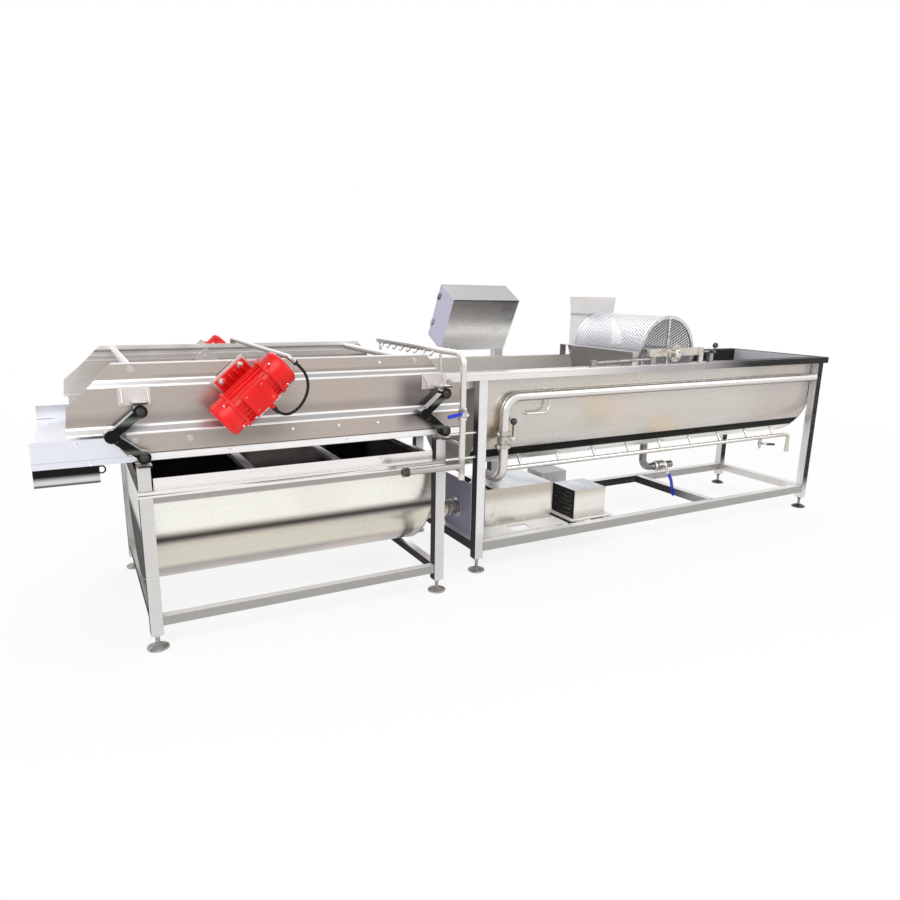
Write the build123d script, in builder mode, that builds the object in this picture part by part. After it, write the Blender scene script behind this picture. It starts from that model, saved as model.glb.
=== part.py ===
from build123d import *

import os
from math import atan2, cos, degrees, radians, sin, sqrt, tan

os.makedirs("parts", exist_ok=True)

# A washing line for shrimp: a long round-bottomed wash tank on a square-tube stand, with a
# perforated take-off drum across it, and a vibrating drain screen over a collection tank.
# Millimetres. X runs along the line, product travels towards -X, Y points to the operator's
# side at the back, Z is up, and the floor is Z = 0.

# Overall layout
tank_length = 2778
tank_width = 780
screen_length = 1375
screen_width = 1054
module_gap = 261
chute_reach = 349
rim_overhang = 20
tank_half = tank_width / 2

# Shared stock and fits
tube_side = 50
tube_wall = 3
sheet = 3
thin_sheet = 2
weld_gap = 0.2
seat_gap = 0.3
running_gap = 0.05
overrun = 5
bolt_head = 10
bolt_head_height = 7

# Wash tank
tank_leg_base = 75
rim_top = 1084
rim_sheet = 2.5
rim_fold = 40
rim_bend = 4
trough_clear = 53
trough_bottom = 513
trough_radius = tank_half - trough_clear
trough_axis_z = trough_bottom + trough_radius
trough_inset = 28
weir_z = 1005
outfall_reach = 250
outfall_drop = 30
tank_rail_z = 141
middle_rail = 1850
pump_rails = (100, 600)
blower_rails = (760, 960)

# Levelling feet
pad_radius = 44
pad_edge = 8
pad_height = 22
pad_neck = 14
stud_radius = 8
stud_clearance = 0.3
stud_engage = 25
nut_flats = 12
nut_height = 13
foot_plate = 6

# Delivery pipe and its valve
pipe_radius = 25.5
pipe_wall = 2
pipe_clear = 22
pipe_y = pipe_clear - tank_half
riser_along = 172
delivery_z = 944
pipe_bend = 90
pump_pipe_bend = 76
jet_count = 10
jet_first = 430
jet_pitch = 245
jet_radius = 10.5
jet_bore = 8
valve_top_z = 754
valve_bottom_z = 683
ferrule_radius = 32
ferrule_height = 6
clamp_radius = 38
clamp_height = 18
clamp_lug = 12
butterfly_radius = 36
butterfly_half = 18
stem_radius = 6
stem_boss = 12
stem_reach = 46
lever_offset = 57
lever_width = 16
lever_thick = 6
lever_rise = 73
ball_radius = 19
disc_thick = 4
disc_clearance = 0.4

# Level tube
level_radius = 6
level_bore = 4.5
level_start = 461
level_end = 318
level_z = 847
level_bend = 45
level_turn = 12

# Air manifold under the trough
manifold_radius = 13.5
manifold_bore = 10.5
manifold_y = 150 - tank_half
manifold_z = 518
manifold_start = 272
manifold_end = 2712
manifold_bend = 30
nipple_first = 384
nipple_pitch = 271
nipple_count = 9
nipple_radius = 8.5
nipple_bore = 6
tail_z = 389
tail_length = 36
tail_radius = 17.5
tail_root = 14.5
tail_barbs = 3

# Ball valves: drain, sample and spray
handle_thick = 4
drain_along = 1545
drain_radius = 25
drain_bore = 22
drain_z = 335
drain_bend = 70
drain_valve_along = drain_along + 155
drain_valve_half = 50
drain_valve_radius = 36
drain_ball = 30
drain_stem = 7
drain_stem_rise = 22
drain_stub = 60
socket_gap = 0.5
drain_handle_width = 24
drain_handle_points = ((38, -50), (68, -98), (100, -205))
sample_along = 2412
sample_drop = 41
sample_valve_half = 15
sample_valve_radius = 15
sample_ball = 9
sample_bore = 6
sample_pipe = 9
sample_stem = 4
sample_stem_rise = 12
sample_outlet = 22
sample_handle_width = 16
sample_handle_points = ((45, -6), (115, -14))

# Recirculation pump
pump_y = -90
pump_z = 285
volute_radius = 105
volute_start = 130
volute_end = 214
volute_wall = 8
suction_radius = 40
suction_bore = 34
suction_start = 30
discharge_z = 402
discharge_turn_z = 490
impeller_radius = 82
impeller_width = 34
shaft_radius = 14
pump_foot_width = 80
motor_start = 222
lantern_length = 20
lantern_radius = 62
pump_motor_radius = 78
pump_motor_fin = 12
pump_motor_length = 270
pump_motor_fins = 16
fin_thick = 4
cowl_length = 60
impeller_vanes = 6
cover_start = 232
cover_end = 635
cover_front = 190 - tank_half
cover_back = 140
cover_top = 390
panel_thick = 4
panel_front = 140 - tank_half
panel_back = 50
panel_base = 120
panel_top = 455
panel_hole = 47
base_start = 56
base_end = 660
base_back = 150
base_thick = 6
window_start = 300
window_end = 420
window_front = 70 - tank_half
window_back = window_front + 80
blower_base_start = 700
blower_base_end = 1010
blower_base_back = tank_half - 60
blower_base_front = -blower_base_back

# Suction hose between the modules
hose_radius = 40
hose_rib = 4
hose_bore = 34
hose_pitch = 12
hose_straight = 82
band_width = 12
band_thick = 3

# Air blower under its cover, and the spray pump behind it
blower_start = 732
blower_end = 966
blower_front = blower_base_front + 30
blower_back = blower_front + 215
blower_top = 346
blower_radius = 68
blower_length = 130
louvre_count = 6
louvre_width = 150
louvre_height = 9
spray_pump_y = tank_half - 180
spray_pump_z = 250
spray_motor_radius = 62
spray_motor_start = 706
spray_motor_end = 796
spray_volute_start = 650
spray_volute_radius = 58
inverter_start = 804
inverter_end = 1000
inverter_half = 82
inverter_top = 345

# Take-off drum across the tank
drum_along = 1350
drum_z = 1145
drum_radius = 215
drum_wall = 2
drum_front = 62 - tank_half
drum_back = tank_half - 98
drum_ring = 14
drum_ring_width = 10
spoke_width = 12
drum_hub = 30
drum_shaft = 15
shaft_front = -tank_half - 14
shaft_back = tank_half - 52
bridge_front = 6 - tank_half
bridge_thick = 12
bridge_low = 1129
bridge_high = 1175
bridge_left = 207
bridge_right = 246
bridge_head = 86
bridge_head_depth = 24
bridge_foot = 36
bearing_radius = 50
bearing_depth = 22
bearing_ring = 26
bearing_bolts = 4
tray_reach = 240
tray_foot = 190
tray_top = 1155
tray_low = 1000
tray_flange = 50
tray_half = tank_half - 64
tray_leg_out = tank_half - 45

# Hold-downs on the front rim
stay_start = 715
stay_foot = 36
stay_foot_height = 38
stay_radius = 8
stay_low = 1106
stay_high = 1116
rest_start = 1158
rest_width = 34
post_along = 1640
post_width = 30
post_height = 80
link_radius = 7
clamp_lever_hub = 12
clamp_ball = 17
clamp_ball_x = 1672
clamp_ball_z = 1186

# Drum drive in its pale column
housing_half = 110
housing_front = tank_half - 90
housing_back = tank_half + 90
housing_top = 1459
housing_flare = 8
flare_z = 1347
gearbox_half = 55
gearbox_front = tank_half - 82
gearbox_back = tank_half + 10
gearbox_top = 1215
drive_motor_radius = 56
drive_motor_top = 1400
drive_motor_shift = 8

# Control cabinet, leaning back on a post at the operator's side
cabinet_start = 260
cabinet_width = 475
cabinet_front = tank_half - 25
cabinet_z = 1430
cabinet_lean = 28.4
cabinet_height = 360
cabinet_depth = 193
door_depth = 16
door_gap = 1
hinge_radius = 6
hinge_pin = 2.5
hinge_length = 22
hinge_places = (52, 235)
hinge_leaf = 16
latch_radius = 11
latch_rise = 5
latch_inset = 30
post_start = 676
post_size = 58
post_front = tank_half + 150
post_back = post_front + 60
post_base = 116
gear_plate = 3
gear_height = 70
gear_count = 6
button_radius = 20
button_ring = 14
button_travel = 6
button_rise = 14
button_down = 90
button_apart = 90

# Screen stand and collection tank
screen_leg_base = 65
screen_rim_top = 685
screen_rim_fold = 25
rail_side = 40
screen_rail_z = 124
basin_radius = 460
basin_axis_z = 610
basin_inset = 20
basin_drain = 30
upstand_y = 500
upstand_height = 48
upstand_inset = 61
post_top = 788

# Rocking mounts: base pivot, knee and top pivot, left and right
mount_y = 512
arm_width = 45
arm_boss = 26
arm_half = 17
arm_pin = 10
pin_washer = 16
arm_pin_clearance = 0.35
knee_tongue = 16
knee_gap = 1
knee_swing = 3
cheek_gap = 1
cheek_thick = 6
base_pivot_z = 828
top_pivot_z = 1008
left_pivot = 34
left_knee = -74
right_pivot = 7
right_knee = 115
knee_z = 918
bracket_low = 1026
bracket_high = 1098
left_bracket = (-36, 81)
right_bracket = (-103, 26)
bracket_plate = 6
web_thick = 8
web_gap = 3

# Vibrating screen
plate_thick = 4
plate_y = (446, 458, 470)
plate_levels = (1190, 1123, 1097, 947, 914, 812)
plate_foot = 800
plate_foot_width = 30
left_profile = ((-48, 1190), (-142, 1094), (-216, 1030), (-227, 916), (-19, 916))
right_profile = ((-74, 1190), (-18, 1119), (36, 1050), (111, 1050))
bar_radius = 16
bar_washer = 14
bar_places = ((18, 1164), (1236, 1162), (216, 880), (9, 886))
beam_places = (340, 620, 900, 1160)
beam_width = 50
beam_height = 50
deck_z = 950
deck_thick = 4
deck_left = -205
deck_right = 105
slot_length = 92
slot_width = 8
slot_columns = 12
slot_rows = 24
slot_pitch_x = 104
slot_pitch_y = 34
chute_wall = 3
chute_high = 906
chute_low = 826
chute_lap = 16
chute_shoulder = (-84, 905)
chute_floor_drop = 30
lip_thick = 6
lip_low = 732
lip_end = 124
ring_radius = 14
ring_wire = 3

# Vibration motors, one on each side plate
vib_along = 454
vib_z = 1065
vib_y = 580
vib_tilt = 41
vib_radius = 70
vib_length = 205
vib_fins = 20
vib_fin = 6
vib_bore = 52
vib_shield = 10
vib_cap_length = 70
vib_cap_radius = 75
vib_cap_round = 18
vib_foot_along = 150
vib_foot_across = 225
vib_foot_thick = 18
vib_foot_bolt_along = 50
vib_foot_bolt_across = 97
vib_shaft = 13
vib_rotor = 46
vib_rotor_length = 150
vib_weight = 50
vib_weight_length = 34
vib_pad_thick = 10
box_along = 105
box_across = 95
box_base_y = 640
box_lid_y = 684
box_face_y = 700
box_screw_along = 39
box_screw_across = 34.5
screw_radius = 4
gland_radius = 12
gland_length = 26
gland_out = 667
stiffener_base = 180
stiffener_rise = 85
stiffener_z = 1080

# Cable from the front motor to the conduit bar
cable_radius = 6
conduit_radius = 10
conduit_wall = 1.5
conduit_along = 596
elbow_y = -612
elbow_reach = 36
elbow_run = 0.743
elbow_fall = 0.669
conduit_back = 470
saddle_height = 10
saddle_width = 26
cable_bend_share = 0.45
cable_lead = 32
elbow_lead = 38.6
cable_tuck = 12
cable_way = ((-1474, -663, 982), (-1434, -656, 997), (-1398, -648, 1034), (-1377, -638, 1078),
             (-1375, -625, 1122))

# Spray pipework at the joint between the modules
spray_radius = 15
spray_wall = 2
spray_along = -218
spray_y = -605
spray_z = 1197
spray_back = 400
spray_bend = 50
spray_valve_z = 920
spray_valve_half = 30
spray_valve_radius = 22
spray_ball = 15
spray_bore = 11
spray_stem = 5
spray_stem_rise = 16
spray_inlet_z = 600
spray_inlet_depth = 50
branch_z = 667
branch_end = -530
branch_collar = 19
branch_collar_length = 34
branch_inlet_depth = 60
spray_handle_width = 18
spray_handle_points = ((-34, 6), (-94, -3))
nozzle_count = 8
nozzle_first = -310
nozzle_pitch = 88
nozzle_radius = 7
nozzle_length = 20
standoff_radius = 7
standoff_y = tank_half - 15
bracket_rod = 8
bracket_levels = (640, 770)

# Places worked out from the sizes above
left_end = -(chute_reach + screen_length + module_gap + tank_length + rim_overhang) / 2
screen_x0 = left_end + chute_reach
screen_x1 = screen_x0 + screen_length
tank_x0 = screen_x1 + module_gap
tank_x1 = tank_x0 + tank_length
screen_half = screen_width / 2
half_tube = tube_side / 2
leg_y = tank_half - half_tube
rim_under = rim_top - rim_sheet
rim_half = tank_half + rim_overhang
trough_x0 = tank_x0 + trough_inset
trough_x1 = tank_x1 - trough_inset
screen_inset = rim_sheet + seat_gap + half_tube
screen_leg_y = screen_half - screen_inset
rail_top = tank_rail_z + half_tube
riser_x = tank_x0 + riser_along
drum_x = tank_x0 + drum_along


def block(x0, x1, y0, y1, z0, z1, mode=Mode.ADD):
    """A straight block between two corners."""
    with Locations(((x0 + x1) / 2, (y0 + y1) / 2, (z0 + z1) / 2)):
        Box(x1 - x0, y1 - y0, z1 - z0, mode=mode)


def rod(start, end, radius, mode=Mode.ADD):
    """A round bar from one point to another."""
    run = Vector(*end) - Vector(*start)
    with BuildSketch(Plane(origin=start, z_dir=run), mode=Mode.PRIVATE) as section:
        Circle(radius)
    extrude(section.sketch, amount=run.length, mode=mode)


def pipe(start, end, radius, bore):
    """A straight round tube from one point to another."""
    run = Vector(*end) - Vector(*start)
    with BuildSketch(Plane(origin=start, z_dir=run), mode=Mode.PRIVATE) as section:
        Circle(radius)
        Circle(bore, mode=Mode.SUBTRACT)
    extrude(section.sketch, amount=run.length)


def square_tube(start, end, side, wall):
    """A square tube from one point to another, its sides along the axes."""
    run = Vector(*end) - Vector(*start)
    with BuildSketch(Plane(origin=start, z_dir=run), mode=Mode.PRIVATE) as section:
        Rectangle(side, side)
        Rectangle(side - 2 * wall, side - 2 * wall, mode=Mode.SUBTRACT)
    extrude(section.sketch, amount=run.length)


def bent_bar(points, bends, radius, mode=Mode.ADD):
    """A round bar along straight runs joined by arcs."""
    with BuildLine(mode=Mode.PRIVATE) as route:
        FilletPolyline(*points, radius=bends)
    with BuildSketch(Plane(origin=route.line @ 0, z_dir=route.line % 0), mode=Mode.PRIVATE) as section:
        Circle(radius)
    sweep(section.sketch, path=route.line, mode=mode)


def prism(plane, points, amount, both=False, mode=Mode.ADD):
    """A straight-sided outline, given thickness."""
    with BuildSketch(plane, mode=Mode.PRIVATE) as section:
        with BuildLine():
            Polyline(*points, close=True)
        make_face()
    extrude(section.sketch, amount=amount, both=both, mode=mode)


def trough_solid(radius, axis_z, top_z, x0, x1, mode=Mode.ADD):
    """A bar with a half-round bottom and straight sides, along X."""
    with BuildSketch(Plane.YZ.offset(x0), mode=Mode.PRIVATE) as section:
        with BuildLine():
            Polyline((-radius, axis_z), (-radius, top_z), (radius, top_z), (radius, axis_z))
            ThreePointArc((radius, axis_z), (0, axis_z - radius), (-radius, axis_z))
        make_face()
    extrude(section.sketch, amount=x1 - x0, mode=mode)


def hex_bolt(place, direction, radius=bolt_head, height=bolt_head_height):
    """A hexagon bolt head on a face."""
    with BuildSketch(Plane(origin=place, z_dir=direction), mode=Mode.PRIVATE) as section:
        RegularPolygon(radius, 6)
    extrude(section.sketch, amount=height)


# Wash tank stand: four legs, the lower rails and the cross rails under the machinery
with BuildPart() as tank_frame:
    for leg_x in (tank_x0 + half_tube, tank_x1 - half_tube):
        for side in (-1, 1):
            y = side * leg_y
            square_tube((leg_x, y, tank_leg_base), (leg_x, y, rim_under), tube_side, tube_wall)
            inner = half_tube - tube_wall
            block(leg_x - inner, leg_x + inner, y - inner, y + inner,
                  tank_leg_base, tank_leg_base + foot_plate)
            rod((leg_x, y, tank_leg_base - overrun), (leg_x, y, tank_leg_base + foot_plate + overrun),
                stud_radius + stud_clearance, mode=Mode.SUBTRACT)
    rail_x0 = tank_x0 + tube_side + weld_gap
    rail_x1 = tank_x1 - tube_side - weld_gap
    for side in (-1, 1):
        square_tube((rail_x0, side * leg_y, tank_rail_z), (rail_x1, side * leg_y, tank_rail_z),
                    tube_side, tube_wall)
    cross_y = tank_half - tube_side - weld_gap
    cross_places = (half_tube, middle_rail, tank_length - half_tube) + pump_rails + blower_rails
    for along in cross_places:
        square_tube((tank_x0 + along, -cross_y, tank_rail_z), (tank_x0 + along, cross_y, tank_rail_z),
                    tube_side, tube_wall)
tank_frame.part.label = "tank_frame"
export_step(tank_frame.part, "parts/tank_frame.step")

# Levelling feet of both stands
foot_places = [(x, side * leg_y, tank_leg_base)
               for x in (tank_x0 + half_tube, tank_x1 - half_tube) for side in (-1, 1)]
foot_places += [(x, side * screen_leg_y, screen_leg_base)
                for x in (screen_x0 + screen_inset, screen_x1 - screen_inset) for side in (-1, 1)]
with BuildPart() as levelling_feet:
    for x, y, base in foot_places:
        rod((x, y, 0), (x, y, pad_edge), pad_radius)
        with Locations((x, y, pad_edge)):
            Cone(pad_radius, pad_neck, pad_height - pad_edge, align=(Align.CENTER, Align.CENTER, Align.MIN))
        rod((x, y, pad_height + weld_gap), (x, y, base + stud_engage), stud_radius)
        with BuildSketch(Plane.XY.offset(base - nut_height), mode=Mode.PRIVATE) as nut:
            with Locations((x, y)):
                RegularPolygon(nut_flats, 6, major_radius=False)
        extrude(nut.sketch, amount=nut_height)
levelling_feet.part.label = "levelling_feet"
export_step(levelling_feet.part, "parts/levelling_feet.step")

# Wash trough: folded sheet with a half-round bottom, flat ends, and a weir at the outfall end
nipple_places = [nipple_first + nipple_pitch * index for index in range(nipple_count)]
jet_places = [jet_first + jet_pitch * index for index in range(jet_count)]
manifold_reach = sqrt(manifold_y ** 2 + (trough_axis_z - manifold_z) ** 2)
nipple_y = manifold_y * trough_radius / manifold_reach
nipple_z = trough_axis_z - (trough_axis_z - manifold_z) * trough_radius / manifold_reach
inside_share = 1 - 2 * sheet / trough_radius
with BuildPart() as wash_trough:
    trough_solid(trough_radius, trough_axis_z, rim_under, trough_x0, trough_x1)
    trough_solid(trough_radius - sheet, trough_axis_z, rim_under + overrun,
                 trough_x0 + sheet, trough_x1 - sheet, mode=Mode.SUBTRACT)
    block(trough_x0 - overrun, trough_x0 + sheet + overrun, -trough_radius + sheet, trough_radius - sheet,
          weir_z, rim_under + overrun, mode=Mode.SUBTRACT)
    rod((tank_x0 + drain_along, 0, trough_axis_z - trough_radius - overrun),
        (tank_x0 + drain_along, 0, trough_axis_z - trough_radius + sheet + overrun),
        drain_bore, mode=Mode.SUBTRACT)
    for along in jet_places:
        rod((tank_x0 + along, -trough_radius - overrun, delivery_z),
            (tank_x0 + along, -trough_radius + sheet + overrun, delivery_z), jet_bore, mode=Mode.SUBTRACT)
    for along in nipple_places:
        rod((tank_x0 + along, manifold_y, manifold_z),
            (tank_x0 + along, nipple_y * inside_share,
             trough_axis_z + (nipple_z - trough_axis_z) * inside_share), nipple_bore, mode=Mode.SUBTRACT)
wash_trough.part.label = "wash_trough"
export_step(wash_trough.part, "parts/wash_trough.step")

# Rim: flat flange with its outer edge folded down, in a front, a back and an end strip. The long
# strips run out over the outfall.
outfall_x0 = tank_x0 - outfall_reach
rim_x1 = tank_x1 + rim_overhang
rim_inner = trough_radius - sheet
with BuildPart() as trough_rim:
    for side in (-1, 1):
        y0, y1 = sorted((side * rim_half, side * rim_inner))
        block(outfall_x0, rim_x1, y0, y1, rim_top - rim_fold, rim_top)
        y0, y1 = sorted((side * (rim_half - rim_sheet), side * (rim_inner - overrun)))
        block(outfall_x0 - overrun, rim_x1 - rim_sheet, y0, y1, rim_top - rim_fold - overrun, rim_under,
              mode=Mode.SUBTRACT)
    strip_half = rim_inner - weld_gap
    block(trough_x1 - sheet, rim_x1, -strip_half, strip_half, rim_under, rim_top)
    block(rim_x1 - rim_sheet, rim_x1, -strip_half, strip_half, rim_top - rim_fold, rim_top)
    top_edges = trough_rim.edges().filter_by_position(Axis.Z, rim_top, rim_top)
    side_folds = [edge for edge in top_edges.filter_by(Axis.X) if abs(edge.center().Y) > leg_y]
    end_folds = [edge for edge in top_edges.filter_by(Axis.Y) if edge.center().X > tank_x1]
    fillet(side_folds + end_folds, radius=rim_bend)
trough_rim.part.label = "trough_rim"
export_step(trough_rim.part, "parts/trough_rim.step")

# Outfall channel that carries the product over to the screen
with BuildPart() as outfall_channel:
    slope = outfall_drop / (outfall_reach + trough_inset)
    floor_end = weir_z - outfall_drop
    prism(Plane.XZ, [(trough_x0, rim_under), (outfall_x0, rim_under),
                     (outfall_x0, floor_end - sheet), (trough_x0, weir_z - sheet)],
          trough_radius, both=True)
    prism(Plane.XZ, [(trough_x0 + overrun, rim_under + overrun), (outfall_x0 - overrun, rim_under + overrun),
                     (outfall_x0 - overrun, floor_end - slope * overrun),
                     (trough_x0 + overrun, weir_z + slope * overrun)],
          trough_radius - sheet, both=True, mode=Mode.SUBTRACT)
outfall_channel.part.label = "outfall_channel"
export_step(outfall_channel.part, "parts/outfall_channel.step")

# Delivery pipe along the front, with its jets into the trough wall, and the riser from the pump
pump_pipe_y = pump_y
with BuildPart() as delivery_pipe:
    upper = [(riser_x, pipe_y, valve_top_z), (riser_x, pipe_y, delivery_z),
             (tank_x1 - tube_side, pipe_y, delivery_z)]
    bent_bar(upper, pipe_bend, pipe_radius)
    rod((riser_x, pipe_y, valve_top_z), (riser_x, pipe_y, valve_top_z + ferrule_height), ferrule_radius)
    for along in jet_places:
        rod((tank_x0 + along, pipe_y, delivery_z), (tank_x0 + along, -trough_radius, delivery_z), jet_radius)
    upper_bore = upper[:2] + [(tank_x1 - tube_side - pipe_wall, pipe_y, delivery_z)]
    bent_bar(upper_bore, pipe_bend, pipe_radius - pipe_wall, mode=Mode.SUBTRACT)
    for along in jet_places:
        rod((tank_x0 + along, pipe_y, delivery_z), (tank_x0 + along, -trough_radius + overrun, delivery_z),
            jet_bore, mode=Mode.SUBTRACT)
    lower = [(riser_x, pipe_y, valve_bottom_z), (riser_x, pipe_y, discharge_turn_z),
             (riser_x, pump_pipe_y, discharge_turn_z), (riser_x, pump_pipe_y, discharge_z)]
    bent_bar(lower, (pipe_bend, pump_pipe_bend - weld_gap), pipe_radius)
    rod((riser_x, pipe_y, valve_bottom_z - ferrule_height), (riser_x, pipe_y, valve_bottom_z), ferrule_radius)
    rod((riser_x, pump_pipe_y, discharge_z), (riser_x, pump_pipe_y, discharge_z + ferrule_height),
        ferrule_radius)
    bent_bar(lower, (pipe_bend, pump_pipe_bend - weld_gap), pipe_radius - pipe_wall, mode=Mode.SUBTRACT)
delivery_pipe.part.label = "delivery_pipe"
export_step(delivery_pipe.part, "parts/delivery_pipe.step")

# Pipe clamps: three hinged rings on the ferrules, and two bands on the suction hose
hose_x0 = screen_x1 - basin_inset
hose_x1 = tank_x0 + suction_start
clamp_places = ((pipe_y, valve_top_z), (pipe_y, valve_bottom_z), (pump_pipe_y, discharge_z))
with BuildPart() as pipe_clamps:
    for y, z in clamp_places:
        rod((riser_x, y, z - clamp_height / 2), (riser_x, y, z + clamp_height / 2), clamp_radius)
        block(riser_x - clamp_radius - clamp_lug, riser_x - clamp_radius + sheet,
              y - clamp_lug, y + clamp_lug, z - clamp_height / 2, z + clamp_height / 2)
        rod((riser_x, y, z - ferrule_height - seat_gap), (riser_x, y, z + ferrule_height + seat_gap),
            ferrule_radius + seat_gap, mode=Mode.SUBTRACT)
        rod((riser_x, y, z - clamp_height), (riser_x, y, z + clamp_height),
            pipe_radius + seat_gap, mode=Mode.SUBTRACT)
    for x in (hose_x0 + 2 * band_width, hose_x1 - 3 * band_width):
        pipe((x, pump_y, pump_z), (x + band_width, pump_y, pump_z),
             hose_radius + band_thick, hose_radius + weld_gap)
pipe_clamps.part.label = "pipe_clamps"
export_step(pipe_clamps.part, "parts/pipe_clamps.step")

# Butterfly valve between the two front clamps
valve_z = (valve_top_z + valve_bottom_z) / 2
disc_radius = pipe_radius - pipe_wall - disc_clearance
with BuildPart() as butterfly_body:
    rod((riser_x, pipe_y, valve_bottom_z), (riser_x, pipe_y, valve_top_z), pipe_radius)
    for z in (valve_bottom_z, valve_top_z - ferrule_height):
        rod((riser_x, pipe_y, z), (riser_x, pipe_y, z + ferrule_height), ferrule_radius)
    rod((riser_x, pipe_y, valve_z - butterfly_half), (riser_x, pipe_y, valve_z + butterfly_half),
        butterfly_radius)
    rod((riser_x, pipe_y, valve_z), (riser_x + stem_reach, pipe_y, valve_z), stem_boss)
    rod((riser_x, pipe_y, valve_bottom_z - overrun), (riser_x, pipe_y, valve_top_z + overrun),
        pipe_radius - pipe_wall, mode=Mode.SUBTRACT)
    rod((riser_x - butterfly_radius + overrun, pipe_y, valve_z),
        (riser_x + stem_reach + overrun, pipe_y, valve_z), stem_radius + running_gap, mode=Mode.SUBTRACT)
butterfly_body.part.label = "butterfly_body"
export_step(butterfly_body.part, "parts/butterfly_body.step")

with BuildPart() as butterfly_lever:
    rod((riser_x, pipe_y - disc_thick / 2, valve_z), (riser_x, pipe_y + disc_thick / 2, valve_z), disc_radius)
    rod((riser_x - butterfly_radius + overrun + seat_gap, pipe_y, valve_z),
        (riser_x + lever_offset, pipe_y, valve_z), stem_radius)
    lever_x = riser_x + lever_offset
    rod((riser_x + stem_reach + seat_gap, pipe_y, valve_z), (lever_x + lever_thick, pipe_y, valve_z),
        stem_boss)
    block(lever_x, lever_x + lever_thick, pipe_y - lever_width / 2, pipe_y + lever_width / 2,
          valve_z, valve_z + lever_rise - weld_gap)
butterfly_lever.part.label = "butterfly_lever"
export_step(butterfly_lever.part, "parts/butterfly_lever.step")

with BuildPart() as butterfly_ball:
    with Locations((lever_x + lever_thick / 2, pipe_y, valve_z + lever_rise + ball_radius)):
        Sphere(ball_radius)
butterfly_ball.part.label = "butterfly_ball"
export_step(butterfly_ball.part, "parts/butterfly_ball.step")

# Level tube from the delivery pipe back to the trough
with BuildPart() as level_tube:
    route = [(tank_x0 + level_start, pipe_y, delivery_z - pipe_radius - weld_gap),
             (tank_x0 + level_start, pipe_y, level_z), (tank_x0 + level_end, pipe_y, level_z),
             (tank_x0 + level_end, -trough_radius - weld_gap, level_z)]
    bent_bar(route, (level_bend, level_turn), level_radius)
    bent_bar(route, (level_bend, level_turn), level_bore, mode=Mode.SUBTRACT)
level_tube.part.label = "level_tube"
export_step(level_tube.part, "parts/level_tube.step")

# Air manifold under the trough, with its nipples and the hose tail that feeds it
tail_x = tank_x0 + manifold_end
with BuildPart() as air_manifold:
    route = [(tank_x0 + manifold_start, manifold_y, manifold_z), (tail_x, manifold_y, manifold_z),
             (tail_x, manifold_y, tail_z)]
    bent_bar(route, manifold_bend, manifold_radius)
    toward_y = nipple_y * (1 + weld_gap / trough_radius)
    toward_z = trough_axis_z + (nipple_z - trough_axis_z) * (1 + weld_gap / trough_radius)
    for along in nipple_places:
        rod((tank_x0 + along, manifold_y, manifold_z), (tank_x0 + along, toward_y, toward_z), nipple_radius)
    for index in range(tail_barbs):
        with Locations((tail_x, manifold_y, tail_z + tail_length * index / tail_barbs)):
            Cone(tail_root, tail_radius, tail_length / tail_barbs,
                 align=(Align.CENTER, Align.CENTER, Align.MIN))
    bore_route = [(tank_x0 + manifold_start + sheet, manifold_y, manifold_z)] + route[1:]
    bent_bar(bore_route, manifold_bend, manifold_bore, mode=Mode.SUBTRACT)
    rod((tail_x, manifold_y, tail_z - overrun), (tail_x, manifold_y, tail_z + tail_length),
        manifold_bore + socket_gap, mode=Mode.SUBTRACT)
    for along in nipple_places:
        rod((tank_x0 + along, manifold_y, manifold_z), (tank_x0 + along, nipple_y, nipple_z),
            nipple_bore, mode=Mode.SUBTRACT)
air_manifold.part.label = "air_manifold"
export_step(air_manifold.part, "parts/air_manifold.step")

# Drain pipe under the trough, in two lengths either side of its valve
drain_x = tank_x0 + drain_along
drain_valve_x = tank_x0 + drain_valve_along
with BuildPart() as drain_pipe:
    route = [(drain_x, 0, trough_axis_z - trough_radius), (drain_x, 0, drain_z),
             (drain_valve_x - drain_valve_half, 0, drain_z)]
    bent_bar(route, drain_bend, drain_radius)
    bent_bar(route, drain_bend, drain_bore, mode=Mode.SUBTRACT)
    pipe((drain_valve_x + drain_valve_half, 0, drain_z),
         (drain_valve_x + drain_valve_half + drain_stub, 0, drain_z), drain_radius,
         drain_bore + socket_gap)
drain_pipe.part.label = "drain_pipe"
export_step(drain_pipe.part, "parts/drain_pipe.step")

# Ball valves: the three bodies, each with the seat for its ball and a boss for its stem
sample_x = tank_x0 + sample_along
sample_z = manifold_z - sample_drop
spray_x = tank_x0 + spray_along


def valve_body(centre, flow, half, radius, pipe_r, bore, ball, stem, stem_rise):
    """A ball valve body on a pipe line, its stem towards -Y."""
    middle = Vector(*centre)
    run = Vector(*flow) * half
    rod(middle - run, middle + run, pipe_r + sheet)
    rod(middle - run / 2, middle + run / 2, radius)
    rod(middle, middle + Vector(0, -radius - stem_rise / 2, 0), stem + sheet)
    rod(middle - run * 2, middle + run * 2, bore, mode=Mode.SUBTRACT)
    with Locations(centre):
        Sphere(ball + running_gap, mode=Mode.SUBTRACT)
    rod(middle, middle + Vector(0, -radius - stem_rise, 0), stem + running_gap, mode=Mode.SUBTRACT)


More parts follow.
